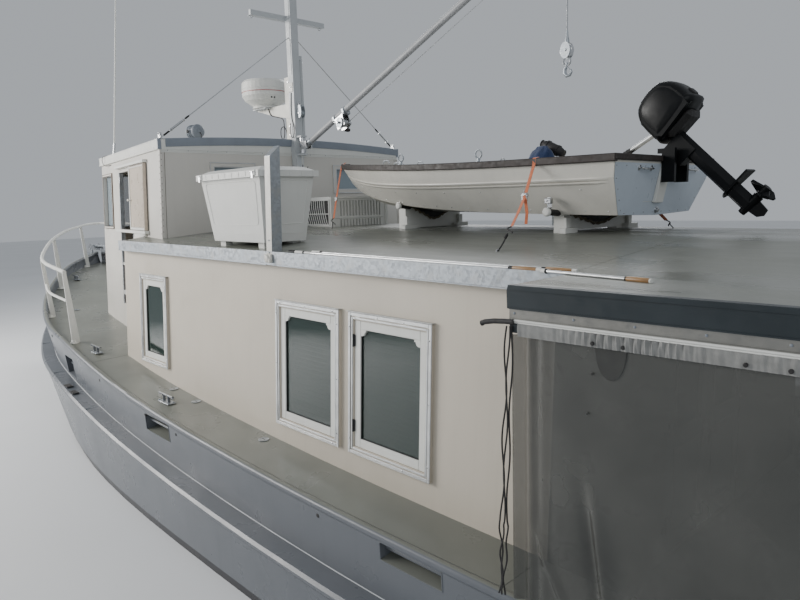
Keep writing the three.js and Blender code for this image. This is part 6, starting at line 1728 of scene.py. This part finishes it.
def deck_fittings():
    """Rims of the mooring pockets, plates and bolts of the cleats, fills, discs, and pads on the ledge."""
    rims, plates, dark = pieces(3)
    for x, low, z1, length in POCKETS:
        z0 = low + 0.029
        corners = [(x - length / 2, z0), (x + length / 2, z0), (x + length / 2, z1), (x - length / 2, z1)]
        ring = []
        for (ax, az), (bx, bz) in zip(corners, corners[1:] + corners[:1]):
            ring += [(ax + (bx - ax) * t, az + (bz - az) * t) for t in (0.04, 0.35, 0.65, 0.96)]
        rims.tube([(px, side_y(px, pz) + 0.0005, pz) for px, pz in ring], 0.0050, 8, closed=True)
        bar, half = z0 + (z1 - z0) * 0.55, length / 2 - 0.002
        rims.tube([(px, side_y(px, bar) - 0.055, bar)
                   for px in np.linspace(x - half, x + half, 6)], 0.014, 12)
    for x, inboard in ((-0.70, 0.20), (1.30, 0.21), (5.90, 0.26)):
        y = hull_at(x)[1] - inboard
        z = deck_top(x, y)
        plates.box((x - 0.125, y - 0.045, z + 0.0006), (x + 0.125, y + 0.045, z + 0.007), 0.003)
        for dx in (-0.1, 0.1):
            for dy in (-0.028, 0.028):
                plates.lathe((x + dx, y + dy, z + 0.007), UP, (11, 0, 11, 7, 5, 8), 6)
        for end in SIDES:
            plates.lathe((x + end * 0.150, y, deck_z(x) + 0.070), (end, 0, 0), (10, -20, 13, -4, 8, 4), 12)
    for x, y in ((-0.404, 2.12), (-0.908, 2.125), (-2.2, 2.16), (3.9, 1.70)):
        z = deck_top(x, y) + 0.001
        plates.lathe((x, y, z + 0.0005), UP, (46, 0, 46, 4, 38, 6, 34, 4, 4, 4), 28)
        dark.box((x - 0.020, y - 0.003, z + 0.0046), (x + 0.020, y + 0.003, z + 0.0062), 0.0005)
    for x in (-0.676, -1.352, 0.55, 2.55, -3.45, -5.8):
        row = hull_at(x)
        dark.lathe((x, row[1] - 0.004, row[2] - 0.092), PORT, (20, 0, 20, 12, 14, 20, 4, 22), 18)
    for x in (1.513, 1.264):
        row = hull_at(x)
        y, z = row[5], row[6] + 0.0062
        for dy in (0.014 * k for k in range(5)):
            dark.box((x - 0.075, y - 0.098 + dy, z), (x + 0.075, y - 0.090 + dy, z + 0.007), 0.001)
        dark.box((x - 0.078, y - 0.102, z - 0.004), (x + 0.078, y - 0.028, z + 0.002), 0.002)
    for x in (3.6, 2.1, 0.7):
        row = hull_at(x)
        half = side_y(x, row[6] + 0.006)
        plates.tube([(x, half + (row[5] - half) * t, row[6] + 0.0052) for t in (0.06, 0.5, 0.90)], 0.0042, 6)
    rims.done("pocket_rims", "hull", mirror=True)
    plates.done("deck_plates", "galvanised", mirror=True)
    dark.done("deck_pads", "rubber", mirror=True)


RAIL_FEET = [(1.85, 2.382), (3.70, 2.13), (5.40, 1.468), (7.00, 0.515)]


def bow_details():
    """Foot pads of the bow rail, the windlass, the fore hatch and the anchor roller."""
    pads, steel, dark, hatch = pieces(4)
    for x, y in RAIL_FEET:
        z = deck_top(x, y)
        pads.lathe((x, y, z + 0.0004), UP, (62, 0, 62, 6, 34, 10, 30, 30, 25.5, 40), 24)
        for angle in (math.radians(45 + 90 * k) for k in range(4)):
            spot = (x + 0.046 * math.cos(angle), y + 0.046 * math.sin(angle), z + 0.006)
            pads.lathe(spot, UP, (8, 0, 8, 5, 3, 6), 6)
    x, z = 6.285, deck_z(6.285) + 0.17
    drum = (66, 0, 70, 4, 50, 18, 46, 40, 52, 60, 66, 68, 66, 74, 20, 78, 18, 90)
    for side in SIDES:
        steel.lathe((x, side * 0.175, z), (0, side, 0), drum, 28)
        steel.lathe((7.97, side * 0.0955, 2.10), (0, side, 0), (22, 0, 22, 10, 12, 14), 6)
        steel.lathe((7.30, side * 0.0955, 2.12), (0, side, 0), (18, 0, 18, 8, 10, 12), 6)
    for angle in turns(8):
        tooth = (x + 0.066 * math.cos(angle), z + 0.066 * math.sin(angle))
        steel.rod((tooth[0], 0.128, tooth[1]), (tooth[0], 0.148, tooth[1]), 0.012, 10)
    dark.tube([(x - 0.137, 0, z - 0.09), (x - 0.142, 0, z - 0.02), (x - 0.118, 0, z + 0.043)], 0.012, 10)
    for k in range(13):
        spot = (x + 0.20 + 0.040 * k, 0, z - 0.075 + 0.0025 * k)
        steel.link(spot, "xy" if k % 2 else "xz", 0.026, 0.015, 0.0055, 12, 6)
    top = deck_z(4.70) + 0.15
    hatch.box((4.40, -0.30, top + 0.0004), (5.00, 0.30, top + 0.006), 0.004)
    for side in SIDES:
        hatch.lathe((4.46, side * 0.18, top + 0.006), UP, (22, 0, 22, 8, 10, 12), 18)
        steel.box((5.030, side * 0.22 - 0.032, top - 0.001), (5.066, side * 0.22 + 0.032, top + 0.006), 0.002)
    pads.done("rail_pads", "white", mirror=True)
    steel.done("windlass_fittings", "galvanised", "galvanised")
    dark.done("windlass_lever", "rubber")
    hatch.done("fore_hatch_pad", "white", body="fore_hatch")


DOOR_FACE = -4.946


def stern_details():
    """Planks of the swim platform, and the windows, handles and hinges of the aft doors."""
    planks, trim, panes, hinges, knob = pieces(5)
    for x in (-8.232 + 0.0885 * k for k in range(6)):
        planks.box((x, -1.69, 0.2554), (x + 0.0815, 1.69, 0.2650), 0.003)
    x = DOOR_FACE
    for a, b in ((x - 0.010, x - 0.0006), (x + 0.0406, x + 0.050)):
        trim.frame((0.095, 1.242), (0.552, 2.098), 0.028, a, b, 0.002, athwart=True)
        a += 0.002
        trim.boxes(0.002, (a, 0.10, 0.50, b, 0.55, 0.53), (a, 0.10, 1.12, b, 0.55, 1.15),
                   (a, 0.10, 0.53, b, 0.13, 1.12), (a, 0.52, 0.53, b, 0.55, 1.12))
    panes.box((x + 0.016, 0.1245, 1.2715), (x + 0.022, 0.5225, 2.0685), 0.001)
    turned = (28, 0, 28, 4, 10, 6, 10, 30, 24, 38, 28, 50, 20, 62, 6, 65)
    knob.lathe((x - 0.0004, 0.055, 1.15), AFT, turned, 24)
    knob.box((x - 0.005, 0.035, 1.02), (x - 0.0004, 0.075, 1.24), 0.002)
    for z in (0.62, 1.31, 2.01):
        hinges.rod((x - 0.018, 0.654, z - 0.045), (x - 0.018, 0.654, z + 0.045), 0.0075, 12)
        hinges.box((x - 0.0045, 0.592, z - 0.040), (x - 0.0006, 0.640, z + 0.040), 0.001)
        for dz in (-0.026, 0, 0.026):
            hinges.screw((x - 0.0045, 0.612, z + dz), AFT, 5)
    planks.done("platform_planks", "wood")
    for suffix, piece, look in (("trim", trim, "white"), ("pane", panes, "clear_glass"),
                                ("knob", knob, "bronze"), ("hinges", hinges, "stainless")):
        piece.done("aft_door_" + suffix, look, mirror=True, body="aft_door", both=True)


saloon_windows()
boathooks()
header_details()
gathered_hem()
curtain_edges()
for closure, which in CLOSURES:
    curtain(closure, which)
tender_trim()
transom_trim()
outboard_trim()
straps()
antenna()
roof_trim()
corner_trims()
sliding_doors()
doorways()
pilothouse_windows()
mast_details()
chain_and_hook()
radome_details()
boom_details()
hoist_details()
stay_details()
searchlight_details()
deck_box_details()
vent_details()
post_details()
chock_details()
kit_in_tender()
hull_skins()
boat_deck_skin()
hull_rails()
deck_fittings()
bow_details()
stern_details()
